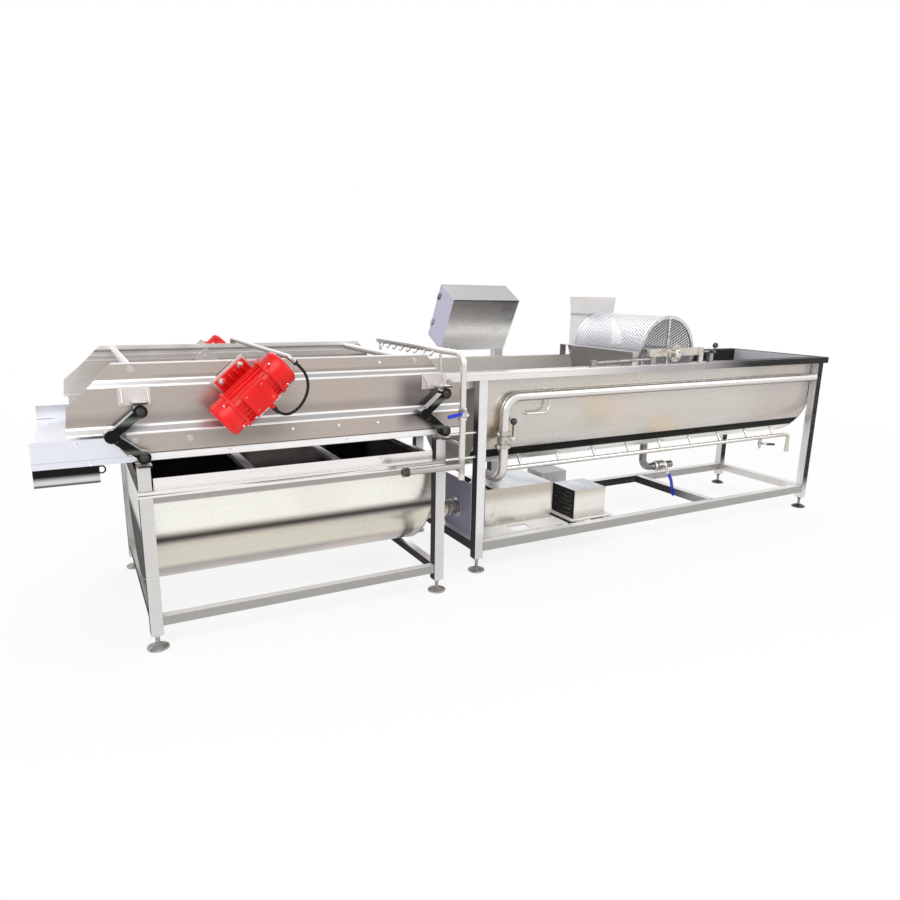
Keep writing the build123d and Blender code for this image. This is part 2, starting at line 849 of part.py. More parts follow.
with BuildPart() as ball_valve_bodies:
    valve_body((drain_valve_x, 0, drain_z), (1, 0, 0), drain_valve_half, drain_valve_radius,
               drain_radius, drain_bore, drain_ball, drain_stem, drain_stem_rise)
    valve_body((sample_x, manifold_y, sample_z), (0, 0, 1), sample_valve_half, sample_valve_radius,
               sample_pipe, sample_bore, sample_ball, sample_stem, sample_stem_rise)
    pipe((sample_x, manifold_y, sample_z + sample_valve_half),
         (sample_x, manifold_y, manifold_z - manifold_radius - weld_gap), sample_pipe, sample_bore)
    pipe((sample_x, manifold_y, sample_z - sample_valve_half),
         (sample_x, manifold_y, sample_z - sample_valve_half - sample_outlet), sample_pipe, sample_bore)
    valve_body((spray_x, spray_y, spray_valve_z), (0, 0, 1), spray_valve_half, spray_valve_radius,
               spray_radius, spray_bore, spray_ball, spray_stem, spray_stem_rise)
ball_valve_bodies.part.label = "ball_valve_bodies"
export_step(ball_valve_bodies.part, "parts/ball_valve_bodies.step")


def valve_handle(centre, radius, ball, bore, stem, stem_rise, width, points, port):
    """A ball with its port square to the flow, its stem, and the flat handle that turns it."""
    middle = Vector(*centre)
    along = Vector(*port)
    half = sqrt(ball ** 2 - bore ** 2)
    out = radius + stem_rise
    ring_plane = Plane(origin=middle, x_dir=along, z_dir=along.cross(Vector(0, -1, 0)))
    with BuildSketch(ring_plane, mode=Mode.PRIVATE) as ring:
        with BuildLine():
            ThreePointArc((-half, bore), (0, ball), (half, bore))
            Line((half, bore), (-half, bore))
        make_face()
    revolve(ring.sketch, axis=Axis(middle, along))
    rod(middle + Vector(0, -(ball + bore) / 2, 0), middle + Vector(0, -out, 0), stem)
    spine = [(0, 0)] + list(points)
    plate = Plane(origin=middle + Vector(0, -out, 0), x_dir=(1, 0, 0), z_dir=(0, -1, 0))
    with BuildSketch(plate, mode=Mode.PRIVATE) as outline:
        for start, end in zip(spine[:-1], spine[1:]):
            run = Vector(end[0] - start[0], end[1] - start[1])
            middle_of_run = ((start[0] + end[0]) / 2, (start[1] + end[1]) / 2)
            turn = degrees(atan2(run.Y, run.X))
            with Locations(Location((*middle_of_run, 0), (0, 0, turn))):
                SlotCenterToCenter(run.length, width)
    extrude(outline.sketch, amount=handle_thick)


with BuildPart() as drain_handle:
    valve_handle((drain_valve_x, 0, drain_z), drain_valve_radius, drain_ball, drain_bore,
                 drain_stem, drain_stem_rise, drain_handle_width, drain_handle_points, (0, 0, 1))
drain_handle.part.label = "drain_handle"
export_step(drain_handle.part, "parts/drain_handle.step")

with BuildPart() as sample_handle:
    valve_handle((sample_x, manifold_y, sample_z), sample_valve_radius, sample_ball, sample_bore,
                 sample_stem, sample_stem_rise, sample_handle_width, sample_handle_points, (1, 0, 0))
sample_handle.part.label = "sample_handle"
export_step(sample_handle.part, "parts/sample_handle.step")

with BuildPart() as spray_handle:
    valve_handle((spray_x, spray_y, spray_valve_z), spray_valve_radius, spray_ball, spray_bore,
                 spray_stem, spray_stem_rise, spray_handle_width, spray_handle_points, (1, 0, 0))
spray_handle.part.label = "spray_handle"
export_step(spray_handle.part, "parts/spray_handle.step")

# Suction hose from the collection tank to the pump, ribbed between its straight cuffs
with BuildPart() as suction_hose:
    rings = [(hose_x0, hose_radius)]
    rib_x = hose_x0 + hose_straight
    while rib_x + hose_pitch <= hose_x1 - hose_straight:
        quarter = hose_pitch / 4
        rings += [(rib_x, hose_radius), (rib_x + quarter, hose_radius + hose_rib),
                  (rib_x + 2 * quarter, hose_radius + hose_rib), (rib_x + 3 * quarter, hose_radius)]
        rib_x += hose_pitch
    rings.append((hose_x1, hose_radius))
    for x, radius in rings:
        with BuildSketch(Plane(origin=(x, pump_y, pump_z), z_dir=(1, 0, 0))):
            Circle(radius)
    loft(ruled=True)
    rod((hose_x0 - overrun, pump_y, pump_z), (hose_x1 + overrun, pump_y, pump_z), hose_bore,
        mode=Mode.SUBTRACT)
suction_hose.part.label = "suction_hose"
export_step(suction_hose.part, "parts/suction_hose.step")

# Recirculation pump: casing, impeller with its shaft, motor, cover and the plates that carry them
volute_x0 = tank_x0 + volute_start
volute_x1 = tank_x0 + volute_end
base_top = rail_top + base_thick
motor_x0 = tank_x0 + motor_start
with BuildPart() as pump_volute:
    rod((volute_x0, pump_y, pump_z), (motor_x0, pump_y, pump_z), volute_radius)
    rod((tank_x0 + suction_start, pump_y, pump_z), (volute_x0, pump_y, pump_z), suction_radius)
    rod((riser_x, pump_pipe_y, pump_z), (riser_x, pump_pipe_y, discharge_z), pipe_radius)
    rod((riser_x, pump_pipe_y, discharge_z - ferrule_height), (riser_x, pump_pipe_y, discharge_z),
        ferrule_radius)
    block(volute_x0, volute_x1, pump_y - pump_foot_width / 2, pump_y + pump_foot_width / 2, base_top, pump_z)
    rod((volute_x0 + volute_wall, pump_y, pump_z), (volute_x1, pump_y, pump_z),
        volute_radius - volute_wall, mode=Mode.SUBTRACT)
    rod((tank_x0 + suction_start - overrun, pump_y, pump_z), (volute_x0 + 2 * volute_wall, pump_y, pump_z),
        suction_bore, mode=Mode.SUBTRACT)
    rod((riser_x, pump_pipe_y, pump_z), (riser_x, pump_pipe_y, discharge_z + overrun),
        pipe_radius - pipe_wall, mode=Mode.SUBTRACT)
    rod((volute_x0, pump_y, pump_z), (motor_x0 + overrun, pump_y, pump_z),
        shaft_radius + running_gap, mode=Mode.SUBTRACT)
pump_volute.part.label = "pump_volute"
export_step(pump_volute.part, "parts/pump_volute.step")

with BuildPart() as pump_impeller:
    middle_x = (volute_x0 + volute_x1) / 2
    rod((middle_x - impeller_width / 2, pump_y, pump_z), (middle_x + impeller_width / 2, pump_y, pump_z),
        impeller_radius)
    rod((middle_x - impeller_width / 2 - overrun, pump_y, pump_z), (middle_x, pump_y, pump_z),
        impeller_radius - volute_wall, mode=Mode.SUBTRACT)
    with BuildSketch(Plane(origin=(middle_x - impeller_width / 2, pump_y, pump_z), z_dir=(1, 0, 0)),
                     mode=Mode.PRIVATE) as vanes:
        with PolarLocations(impeller_radius / 2, impeller_vanes):
            Rectangle(impeller_radius - 2 * volute_wall, volute_wall)
    extrude(vanes.sketch, amount=impeller_width)
    rod((middle_x - impeller_width / 2, pump_y, pump_z),
        (motor_x0 + lantern_length + 2 * tube_side, pump_y, pump_z), shaft_radius)
pump_impeller.part.label = "pump_impeller"
export_step(pump_impeller.part, "parts/pump_impeller.step")

with BuildPart() as pump_motor:
    frame_x0 = motor_x0 + lantern_length
    frame_x1 = frame_x0 + pump_motor_length
    rod((motor_x0, pump_y, pump_z), (frame_x0, pump_y, pump_z), lantern_radius)
    rod((frame_x0, pump_y, pump_z), (frame_x1, pump_y, pump_z), pump_motor_radius)
    with BuildSketch(Plane(origin=(frame_x0, pump_y, pump_z), z_dir=(1, 0, 0)), mode=Mode.PRIVATE) as fins:
        with PolarLocations(pump_motor_radius, pump_motor_fins):
            Rectangle(2 * pump_motor_fin, fin_thick)
    extrude(fins.sketch, amount=pump_motor_length)
    rod((frame_x1, pump_y, pump_z), (frame_x1 + cowl_length, pump_y, pump_z),
        pump_motor_radius + pump_motor_fin)
    block(frame_x0 + tube_side, frame_x1 - tube_side, pump_y - pump_motor_radius, pump_y + pump_motor_radius,
          base_top, pump_z - tube_side)
    rod((motor_x0 - overrun, pump_y, pump_z), (frame_x0 + 3 * tube_side, pump_y, pump_z),
        shaft_radius + running_gap, mode=Mode.SUBTRACT)
pump_motor.part.label = "pump_motor"
export_step(pump_motor.part, "parts/pump_motor.step")

with BuildPart() as pump_cover:
    cover_x0 = tank_x0 + cover_start
    cover_x1 = tank_x0 + cover_end
    block(cover_x0, cover_x1, cover_front, cover_back, base_top, cover_top)
    block(cover_x0 + thin_sheet, cover_x1 - thin_sheet, cover_front + thin_sheet, cover_back - thin_sheet,
          base_top - overrun, cover_top - thin_sheet, mode=Mode.SUBTRACT)
    rod((cover_x0 - overrun, pump_y, pump_z), (cover_x0 + overrun, pump_y, pump_z),
        lantern_radius + seat_gap, mode=Mode.SUBTRACT)
pump_cover.part.label = "pump_cover"
export_step(pump_cover.part, "parts/pump_cover.step")

with BuildPart() as pump_plates:
    block(tank_x0 + tube_side, tank_x0 + tube_side + panel_thick, panel_front, panel_back,
          panel_base, panel_top)
    rod((tank_x0 + tube_side - overrun, pump_y, pump_z), (tank_x0 + tube_side + 2 * overrun, pump_y, pump_z),
        panel_hole, mode=Mode.SUBTRACT)
    plate_front = -tank_half + tube_side + seat_gap
    block(tank_x0 + base_start, tank_x0 + base_end, plate_front, base_back, rail_top, base_top)
    block(tank_x0 + window_start, tank_x0 + window_end, window_front, window_back,
          rail_top - overrun, base_top + overrun, mode=Mode.SUBTRACT)
    block(tank_x0 + blower_base_start, tank_x0 + blower_base_end, blower_base_front, blower_base_back,
          rail_top, base_top)
pump_plates.part.label = "pump_plates"
export_step(pump_plates.part, "parts/pump_plates.step")

# Air blower cover with louvres in its end, the blower inside it, and the spray pump behind
blower_x0 = tank_x0 + blower_start
blower_x1 = tank_x0 + blower_end
blower_y = (blower_front + blower_back) / 2
with BuildPart() as blower_cover:
    block(blower_x0, blower_x1, blower_front, blower_back, base_top, blower_top)
    block(blower_x0 + thin_sheet, blower_x1 - thin_sheet, blower_front + thin_sheet, blower_back - thin_sheet,
          base_top - overrun, blower_top - thin_sheet, mode=Mode.SUBTRACT)
    louvre_pitch = (blower_top - base_top) / (louvre_count + 1)
    for index in range(louvre_count):
        z = base_top + louvre_pitch * (index + 1)
        block(blower_x0 - overrun, blower_x0 + overrun, blower_y - louvre_width / 2,
              blower_y + louvre_width / 2, z - louvre_height / 2, z + louvre_height / 2, mode=Mode.SUBTRACT)
blower_cover.part.label = "blower_cover"
export_step(blower_cover.part, "parts/blower_cover.step")

with BuildPart() as auxiliary_pumps:
    middle_x = (blower_x0 + blower_x1) / 2
    blower_z = base_top + blower_radius + sheet
    rod((middle_x - blower_length / 2, blower_y, blower_z), (middle_x, blower_y, blower_z), blower_radius)
    rod((middle_x, blower_y, blower_z), (middle_x + blower_length / 2, blower_y, blower_z),
        blower_radius - volute_wall)
    block(middle_x - tube_side, middle_x + tube_side, blower_y - tube_side, blower_y + tube_side,
          base_top, blower_z)
    motor_x1 = tank_x0 + spray_motor_end
    volute_x = tank_x0 + spray_volute_start
    rod((volute_x, spray_pump_y, spray_pump_z), (tank_x0 + spray_motor_start, spray_pump_y, spray_pump_z),
        spray_volute_radius)
    rod((tank_x0 + spray_motor_start, spray_pump_y, spray_pump_z), (motor_x1, spray_pump_y, spray_pump_z),
        spray_motor_radius)
    with BuildSketch(Plane(origin=(tank_x0 + spray_motor_start, spray_pump_y, spray_pump_z), z_dir=(1, 0, 0)),
                     mode=Mode.PRIVATE) as fins:
        with PolarLocations(spray_motor_radius, pump_motor_fins):
            Rectangle(2 * pump_motor_fin, fin_thick)
    extrude(fins.sketch, amount=spray_motor_end - spray_motor_start)
    block(tank_x0 + spray_motor_start, motor_x1, spray_pump_y - tube_side, spray_pump_y + tube_side,
          base_top, spray_pump_z)
    block(tank_x0 + inverter_start, tank_x0 + inverter_end, spray_pump_y - inverter_half,
          spray_pump_y + inverter_half, base_top, inverter_top)
auxiliary_pumps.part.label = "auxiliary_pumps"
export_step(auxiliary_pumps.part, "parts/auxiliary_pumps.step")

# Take-off drum: perforated shell, spoked ends on a through shaft, bridge bearing and side trays
with BuildPart() as drum_shell:
    pipe((drum_x, drum_front, drum_z), (drum_x, drum_back, drum_z), drum_radius, drum_radius - drum_wall)
drum_shell.part.label = "drum_shell"
export_step(drum_shell.part, "parts/drum_shell.step")

ring_outer = drum_radius - drum_wall - weld_gap
with BuildPart() as drum_spider:
    for y0 in (drum_front, drum_back - drum_ring_width):
        pipe((drum_x, y0, drum_z), (drum_x, y0 + drum_ring_width, drum_z), ring_outer, ring_outer - drum_ring)
        block(drum_x - ring_outer + drum_ring / 2, drum_x + ring_outer - drum_ring / 2,
              y0, y0 + drum_ring_width, drum_z - spoke_width / 2, drum_z + spoke_width / 2)
        block(drum_x - spoke_width / 2, drum_x + spoke_width / 2, y0, y0 + drum_ring_width,
              drum_z - ring_outer + drum_ring / 2, drum_z + ring_outer - drum_ring / 2)
        rod((drum_x, y0, drum_z), (drum_x, y0 + drum_ring_width, drum_z), drum_hub)
    rod((drum_x, shaft_front, drum_z), (drum_x, shaft_back, drum_z), drum_shaft)
drum_spider.part.label = "drum_spider"
export_step(drum_spider.part, "parts/drum_spider.step")

bridge_x0 = drum_x - bridge_left
bridge_x1 = drum_x + bridge_right
bridge_back = bridge_front + bridge_thick
with BuildPart() as drum_bridge:
    block(bridge_x0, bridge_x1, bridge_front, bridge_back, bridge_low, bridge_high)
    block(bridge_x0, bridge_x0 + bridge_head, bridge_back - bridge_head_depth, bridge_back,
          bridge_low, bridge_high)
    block(bridge_x1 - bridge_foot, bridge_x1, bridge_front, bridge_back, rim_top, bridge_low)
    rod((drum_x, bridge_front - bearing_depth, drum_z), (drum_x, bridge_front, drum_z), bearing_ring)
    rod((drum_x, bridge_front - bearing_depth / 2, drum_z), (drum_x, bridge_front, drum_z), bearing_radius)
    for turn in range(bearing_bolts):
        angle = radians(360 / bearing_bolts * (turn + 0.5))
        reach = (bearing_radius + bearing_ring) / 2
        hex_bolt((drum_x + reach * cos(angle), bridge_front - bearing_depth / 2, drum_z + reach * sin(angle)),
                 (0, -1, 0))
    rod((drum_x, bridge_front - bearing_depth - overrun, drum_z), (drum_x, bridge_back + overrun, drum_z),
        drum_shaft + running_gap, mode=Mode.SUBTRACT)
drum_bridge.part.label = "drum_bridge"
export_step(drum_bridge.part, "parts/drum_bridge.step")

with BuildPart() as drum_tray:
    for side in (-1, 1):
        top_x = drum_x + side * tray_reach
        foot_x = drum_x + side * tray_foot
        outer_x = top_x + side * tray_flange
        prism(Plane.XZ, [(top_x, tray_top), (foot_x, tray_low), (foot_x + side * sheet, tray_low),
                         (top_x + side * sheet, tray_top)], tray_half, both=True)
        block(min(top_x, outer_x), max(top_x, outer_x), -tray_leg_out, tray_leg_out,
              tray_top - sheet, tray_top)
        for end in (-1, 1):
            y_out = end * tray_leg_out
            y_in = end * (tray_leg_out - sheet)
            block(min(top_x + side * sheet, outer_x), max(top_x + side * sheet, outer_x),
                  min(y_in, y_out), max(y_in, y_out), rim_top, tray_top - sheet)
drum_tray.part.label = "drum_tray"
export_step(drum_tray.part, "parts/drum_tray.step")

# Hold-downs on the front rim: stay with its foot, rubber rest under the bridge, clamp post
hold_y0 = bridge_back - bridge_head_depth
with BuildPart() as rim_clamps:
    stay_x = tank_x0 + stay_start
    rest_x = tank_x0 + rest_start
    hold_y = (hold_y0 + bridge_back) / 2
    block(stay_x, stay_x + stay_foot, hold_y0, bridge_back, rim_top, rim_top + stay_foot_height)
    rod((stay_x + stay_foot / 2, hold_y, stay_low), (rest_x - weld_gap, hold_y, stay_high), stay_radius)
    block(rest_x, rest_x + rest_width, hold_y0, bridge_back, rim_top, bridge_low - weld_gap)
    post_x = tank_x0 + post_along
    block(post_x, post_x + post_width, hold_y0, bridge_back, rim_top, rim_top + post_height)
    link_z = rim_top + post_height - post_width / 2
    rod((bridge_x1 + weld_gap, hold_y, link_z), (post_x, hold_y, link_z), link_radius)
    rod((post_x + post_width / 2, hold_y0 - 2 * clamp_lever_hub, link_z),
        (post_x + post_width / 2, hold_y0, link_z), stem_radius)
rim_clamps.part.label = "rim_clamps"
export_step(rim_clamps.part, "parts/rim_clamps.step")

with BuildPart() as clamp_lever:
    hub_x = post_x + post_width / 2
    hub_y1 = hold_y0 - seat_gap
    ball_y = hub_y1 - clamp_lever_hub / 2
    ball_place = (tank_x0 + clamp_ball_x, ball_y, clamp_ball_z)
    rod((hub_x, hub_y1 - clamp_lever_hub, link_z), (hub_x, hub_y1, link_z), clamp_lever_hub)
    rod((hub_x, ball_y, link_z), ball_place, stem_radius / 2)
    with Locations(ball_place):
        Sphere(clamp_ball)
    rod((hub_x, hub_y1 - 2 * clamp_lever_hub, link_z), (hub_x, hub_y1 + overrun, link_z),
        stem_radius + running_gap, mode=Mode.SUBTRACT)
clamp_lever.part.label = "clamp_lever"
export_step(clamp_lever.part, "parts/clamp_lever.step")

# Drum drive: folded column, flared at the top, round a gearbox and its upright motor
housing_y = (housing_front + housing_back) / 2
housing_depth = housing_back - housing_front


def column(shrink, z0, z1, grow, mode):
    """One length of the drive column, straight or growing towards its upper end."""
    with BuildSketch(Plane.XY.offset(z0), mode=Mode.PRIVATE) as low:
        with Locations((drum_x, housing_y)):
            Rectangle(2 * housing_half - shrink, housing_depth - shrink)
    with BuildSketch(Plane.XY.offset(z1), mode=Mode.PRIVATE) as high:
        with Locations((drum_x, housing_y)):
            Rectangle(2 * housing_half - shrink + grow, housing_depth - shrink + grow)
    loft([low.sketch.face(), high.sketch.face()], ruled=True, mode=mode)


with BuildPart() as drive_housing:
    column(0, rim_top, flare_z, 0, Mode.ADD)
    column(0, flare_z, housing_top, 2 * housing_flare, Mode.ADD)
    column(2 * thin_sheet, rim_top, flare_z, 0, Mode.SUBTRACT)
    column(2 * thin_sheet, flare_z, housing_top - thin_sheet, 2 * housing_flare, Mode.SUBTRACT)
    rod((drum_x, housing_front - overrun, drum_z), (drum_x, housing_front + overrun, drum_z),
        drum_shaft + overrun, mode=Mode.SUBTRACT)
drive_housing.part.label = "drive_housing"
export_step(drive_housing.part, "parts/drive_housing.step")

with BuildPart() as drum_gearmotor:
    block(drum_x - gearbox_half, drum_x + gearbox_half, gearbox_front, gearbox_back, rim_top, gearbox_top)
    middle_y = (gearbox_front + gearbox_back) / 2 + drive_motor_shift
    rod((drum_x, middle_y, gearbox_top), (drum_x, middle_y, drive_motor_top), drive_motor_radius)
    rod((drum_x, gearbox_front - overrun, drum_z), (drum_x, shaft_back + overrun, drum_z),
        drum_shaft + running_gap, mode=Mode.SUBTRACT)
drum_gearmotor.part.label = "drum_gearmotor"
export_step(drum_gearmotor.part, "parts/drum_gearmotor.step")

# Control cabinet: a tray with its door on the operator's side, leaning back on a post.
# In its own plane, x runs along the line, y down the cabinet and z through its depth.
lean = radians(cabinet_lean)
cabinet_x0 = tank_x0 + cabinet_start
cabinet_plane = Plane(origin=(cabinet_x0, cabinet_front, cabinet_z), x_dir=(1, 0, 0),
                      z_dir=(0, cos(lean), sin(lean)))
cabinet_down = Vector(0, sin(lean), -cos(lean))
cabinet_out = Vector(0, cos(lean), sin(lean))
cabinet_origin = Vector(cabinet_x0, cabinet_front, cabinet_z)
body_depth = cabinet_depth - door_depth


def cabinet_point(along, down, out):
    """A point of the cabinet, from its own three directions."""
    return cabinet_origin + Vector(along, 0, 0) + cabinet_down * down + cabinet_out * out


def cabinet_block(x0, x1, y0, y1, z0, z1, mode=Mode.ADD):
    """A block in the cabinet's own directions."""
    with BuildSketch(cabinet_plane.offset(z0), mode=Mode.PRIVATE) as face:
        with Locations(((x0 + x1) / 2, (y0 + y1) / 2)):
            Rectangle(x1 - x0, y1 - y0)
    extrude(face.sketch, amount=z1 - z0, mode=mode)


door_z0 = body_depth + door_gap
hinge_x = -hinge_radius - running_gap
hinge_out = body_depth + door_gap / 2
with BuildPart() as cabinet_body:
    cabinet_block(0, cabinet_width, 0, cabinet_height, 0, body_depth)
    cabinet_block(thin_sheet, cabinet_width - thin_sheet, thin_sheet, cabinet_height - thin_sheet,
                  thin_sheet, body_depth + overrun, mode=Mode.SUBTRACT)
    for place in hinge_places:
        cabinet_block(hinge_x, 0, place, place + hinge_length, body_depth - hinge_leaf, hinge_out)
        rod(cabinet_point(hinge_x, place, hinge_out), cabinet_point(hinge_x, place + hinge_length, hinge_out),
            hinge_radius)
        rod(cabinet_point(hinge_x, place, hinge_out),
            cabinet_point(hinge_x, place + 2 * hinge_length, hinge_out), hinge_pin)
cabinet_body.part.label = "cabinet_body"
export_step(cabinet_body.part, "parts/cabinet_body.step")

button_x = cabinet_width / 2
button_places = (button_x - button_apart / 2, button_x + button_apart / 2)
with BuildPart() as cabinet_door:
    cabinet_block(0, cabinet_width, 0, cabinet_height, door_z0, cabinet_depth)
    cabinet_block(thin_sheet, cabinet_width - thin_sheet, thin_sheet, cabinet_height - thin_sheet,
                  door_z0 - overrun, cabinet_depth - thin_sheet, mode=Mode.SUBTRACT)
    for place in button_places:
        rod(cabinet_point(place, button_down, door_z0 - overrun),
            cabinet_point(place, button_down, cabinet_depth + overrun), button_ring + seat_gap,
            mode=Mode.SUBTRACT)
    for place in hinge_places:
        start = place + hinge_length + seat_gap
        end = place + 2 * hinge_length - seat_gap
        cabinet_block(hinge_x, 0, start, end, hinge_out, cabinet_depth)
        rod(cabinet_point(hinge_x, start, hinge_out), cabinet_point(hinge_x, end, hinge_out), hinge_radius)
        rod(cabinet_point(hinge_x, start - overrun, hinge_out),
            cabinet_point(hinge_x, end + overrun, hinge_out), hinge_pin + running_gap, mode=Mode.SUBTRACT)
    latch = cabinet_point(cabinet_width - latch_inset, cabinet_height / 2, cabinet_depth)
    rod(latch, latch + cabinet_out * latch_rise, latch_radius)
cabinet_door.part.label = "cabinet_door"
export_step(cabinet_door.part, "parts/cabinet_door.step")

with BuildPart() as cabinet_post:
    post_x0 = tank_x0 + post_start
    post_x1 = post_x0 + post_size
    seat = cabinet_point(0, cabinet_height, 0)
    seat_front = seat.Z + (post_front - seat.Y) * tan(lean)
    seat_back = seat.Z + (post_back - seat.Y) * tan(lean)
    prism(Plane.YZ.offset(post_x0), [(post_front, post_base), (post_back, post_base),
                                     (post_back, seat_back), (post_front, seat_front)], post_size)
    prism(Plane.YZ.offset(post_x0 + tube_wall),
          [(post_front + tube_wall, post_base - overrun), (post_back - tube_wall, post_base - overrun),
           (post_back - tube_wall, seat_back - 2 * tube_wall),
           (post_front + tube_wall, seat_front - tube_wall)],
          post_size - 2 * tube_wall, mode=Mode.SUBTRACT)
    block(post_x0, post_x1, tank_half, post_front, post_base, rail_top)
    block(post_x0 + tube_wall, post_x1 - tube_wall, tank_half - overrun, post_front,
          post_base + tube_wall, rail_top - tube_wall, mode=Mode.SUBTRACT)
cabinet_post.part.label = "cabinet_post"
export_step(cabinet_post.part, "parts/cabinet_post.step")

with BuildPart() as control_gear:
    gear_z = thin_sheet + gear_plate
    cabinet_block(tube_side, cabinet_width - tube_side, tube_side, cabinet_height - tube_side,
                  thin_sheet, gear_z)
    gear_pitch = (cabinet_width - 3 * tube_side) / gear_count
    for index in range(gear_count):
        x = 3 * tube_side / 2 + gear_pitch * index
        cabinet_block(x, x + gear_pitch - sheet, 2 * tube_side, 2 * tube_side + gear_height, gear_z,
                      gear_z + gear_height)
        cabinet_block(x, x + gear_pitch - sheet, 4 * tube_side, 4 * tube_side + gear_height, gear_z,
                      gear_z + gear_height / 2)
control_gear.part.label = "control_gear"
export_step(control_gear.part, "parts/control_gear.step")

with BuildPart() as stop_button:
    face_out = cabinet_depth + button_travel + seat_gap
    rod(cabinet_point(button_places[0], button_down, door_z0 - button_travel),
        cabinet_point(button_places[0], button_down, face_out), button_ring)
    rod(cabinet_point(button_places[0], button_down, face_out),
        cabinet_point(button_places[0], button_down, face_out + button_rise), button_radius)
stop_button.part.label = "stop_button"
export_step(stop_button.part, "parts/stop_button.step")

with BuildPart() as start_button:
    rod(cabinet_point(button_places[1], button_down, door_z0 - button_travel),
        cabinet_point(button_places[1], button_down, cabinet_depth + button_travel + seat_gap), button_ring)
start_button.part.label = "start_button"
export_step(start_button.part, "parts/start_button.step")

# Screen stand: legs, lower rails, and the short posts that carry the rocking mounts
screen_rim_under = screen_rim_top - rim_sheet
with BuildPart() as screen_frame:
    for leg_x in (screen_x0 + screen_inset, screen_x1 - screen_inset):
        for side in (-1, 1):
            y = side * screen_leg_y
            square_tube((leg_x, y, screen_leg_base), (leg_x, y, screen_rim_under), tube_side, tube_wall)
            inner = half_tube - tube_wall
            block(leg_x - inner, leg_x + inner, y - inner, y + inner,
                  screen_leg_base, screen_leg_base + foot_plate)
            rod((leg_x, y, screen_leg_base - overrun), (leg_x, y, screen_leg_base + foot_plate + overrun),
                stud_radius + stud_clearance, mode=Mode.SUBTRACT)
            square_tube((leg_x, y, screen_rim_top), (leg_x, y, post_top), tube_side, tube_wall)
        end_y = screen_leg_y - half_tube - weld_gap
        square_tube((leg_x, -end_y, screen_rail_z), (leg_x, end_y, screen_rail_z), rail_side, tube_wall)
    for side in (-1, 1):
        rail_end = screen_inset + half_tube + weld_gap
        square_tube((screen_x0 + rail_end, side * screen_leg_y, screen_rail_z),
                    (screen_x1 - rail_end, side * screen_leg_y, screen_rail_z), rail_side, tube_wall)
screen_frame.part.label = "screen_frame"
export_step(screen_frame.part, "parts/screen_frame.step")

# Collection tank: round-bottomed basin, its rim in four folded strips, and the splash upstands
basin_x0 = screen_x0 + basin_inset
basin_x1 = screen_x1 - basin_inset
with BuildPart() as collection_tank:
    trough_solid(basin_radius, basin_axis_z, screen_rim_under - weld_gap, basin_x0, basin_x1)
    trough_solid(basin_radius - sheet, basin_axis_z, screen_rim_under + overrun,
                 basin_x0 + sheet, basin_x1 - sheet, mode=Mode.SUBTRACT)
    rod((basin_x1 - sheet - overrun, pump_y, pump_z), (basin_x1 + overrun, pump_y, pump_z), hose_bore,
        mode=Mode.SUBTRACT)
    middle_x = (basin_x0 + basin_x1) / 2
    rod((middle_x, 0, basin_axis_z - basin_radius - overrun),
        (middle_x, 0, basin_axis_z - basin_radius + sheet + overrun), basin_drain, mode=Mode.SUBTRACT)
    inner_y = basin_radius - sheet
    for side in (-1, 1):
        y0, y1 = sorted((side * screen_half, side * inner_y))
        block(screen_x0, screen_x1, y0, y1, screen_rim_top - screen_rim_fold, screen_rim_top)
        y0, y1 = sorted((side * (screen_half - rim_sheet), side * (inner_y - overrun)))
        block(screen_x0 + rim_sheet, screen_x1 - rim_sheet, y0, y1,
              screen_rim_top - screen_rim_fold - overrun, screen_rim_under, mode=Mode.SUBTRACT)
        y0, y1 = sorted((side * upstand_y, side * (upstand_y + thin_sheet)))
        block(screen_x0 + upstand_inset, screen_x1 - upstand_inset, y0, y1,
              screen_rim_top + weld_gap, screen_rim_top + upstand_height)
    for x0, x1, fold0 in ((screen_x0, basin_x0 + sheet, screen_x0),
                          (basin_x1 - sheet, screen_x1, screen_x1 - rim_sheet)):
        strip_y = inner_y - weld_gap
        block(x0, x1, -strip_y, strip_y, screen_rim_under, screen_rim_top)
        block(fold0, fold0 + rim_sheet, -strip_y, strip_y, screen_rim_top - screen_rim_fold, screen_rim_top)
collection_tank.part.label = "collection_tank"
export_step(collection_tank.part, "parts/collection_tank.step")

# Rocking mounts. Each side of the screen has a base pivot on a post, a knee that stands out to
# the left or right, and a top pivot in a bracket on the side plate.
pivots = {"left": (screen_x0 + left_pivot, screen_x0 + left_knee),
          "right": (screen_x1 - right_pivot, screen_x1 - right_knee)}
arm_half_width = arm_width / 2
cheek_in = arm_half_width + cheek_gap
cheek_out = cheek_in + cheek_thick


def across(x, y, z, half, radius, mode=Mode.ADD):
    """A round bar along Y, centred on a point."""
    rod((x, y - half, z), (x, y + half, z), radius, mode=mode)


def link(x0, z0, x1, z1, y, half, width):
    """A flat link between two points, its thickness along Y."""
    run = Vector(x1 - x0, z1 - z0)
    turn = degrees(atan2(run.Y, run.X))
    plane = Plane(origin=(0, y + half, 0), x_dir=(1, 0, 0), z_dir=(0, -1, 0))
    with BuildSketch(plane, mode=Mode.PRIVATE) as outline:
        with Locations(Location(((x0 + x1) / 2, (z0 + z1) / 2, 0), (0, 0, turn))):
            Rectangle(run.length, width)
    extrude(outline.sketch, amount=2 * half)


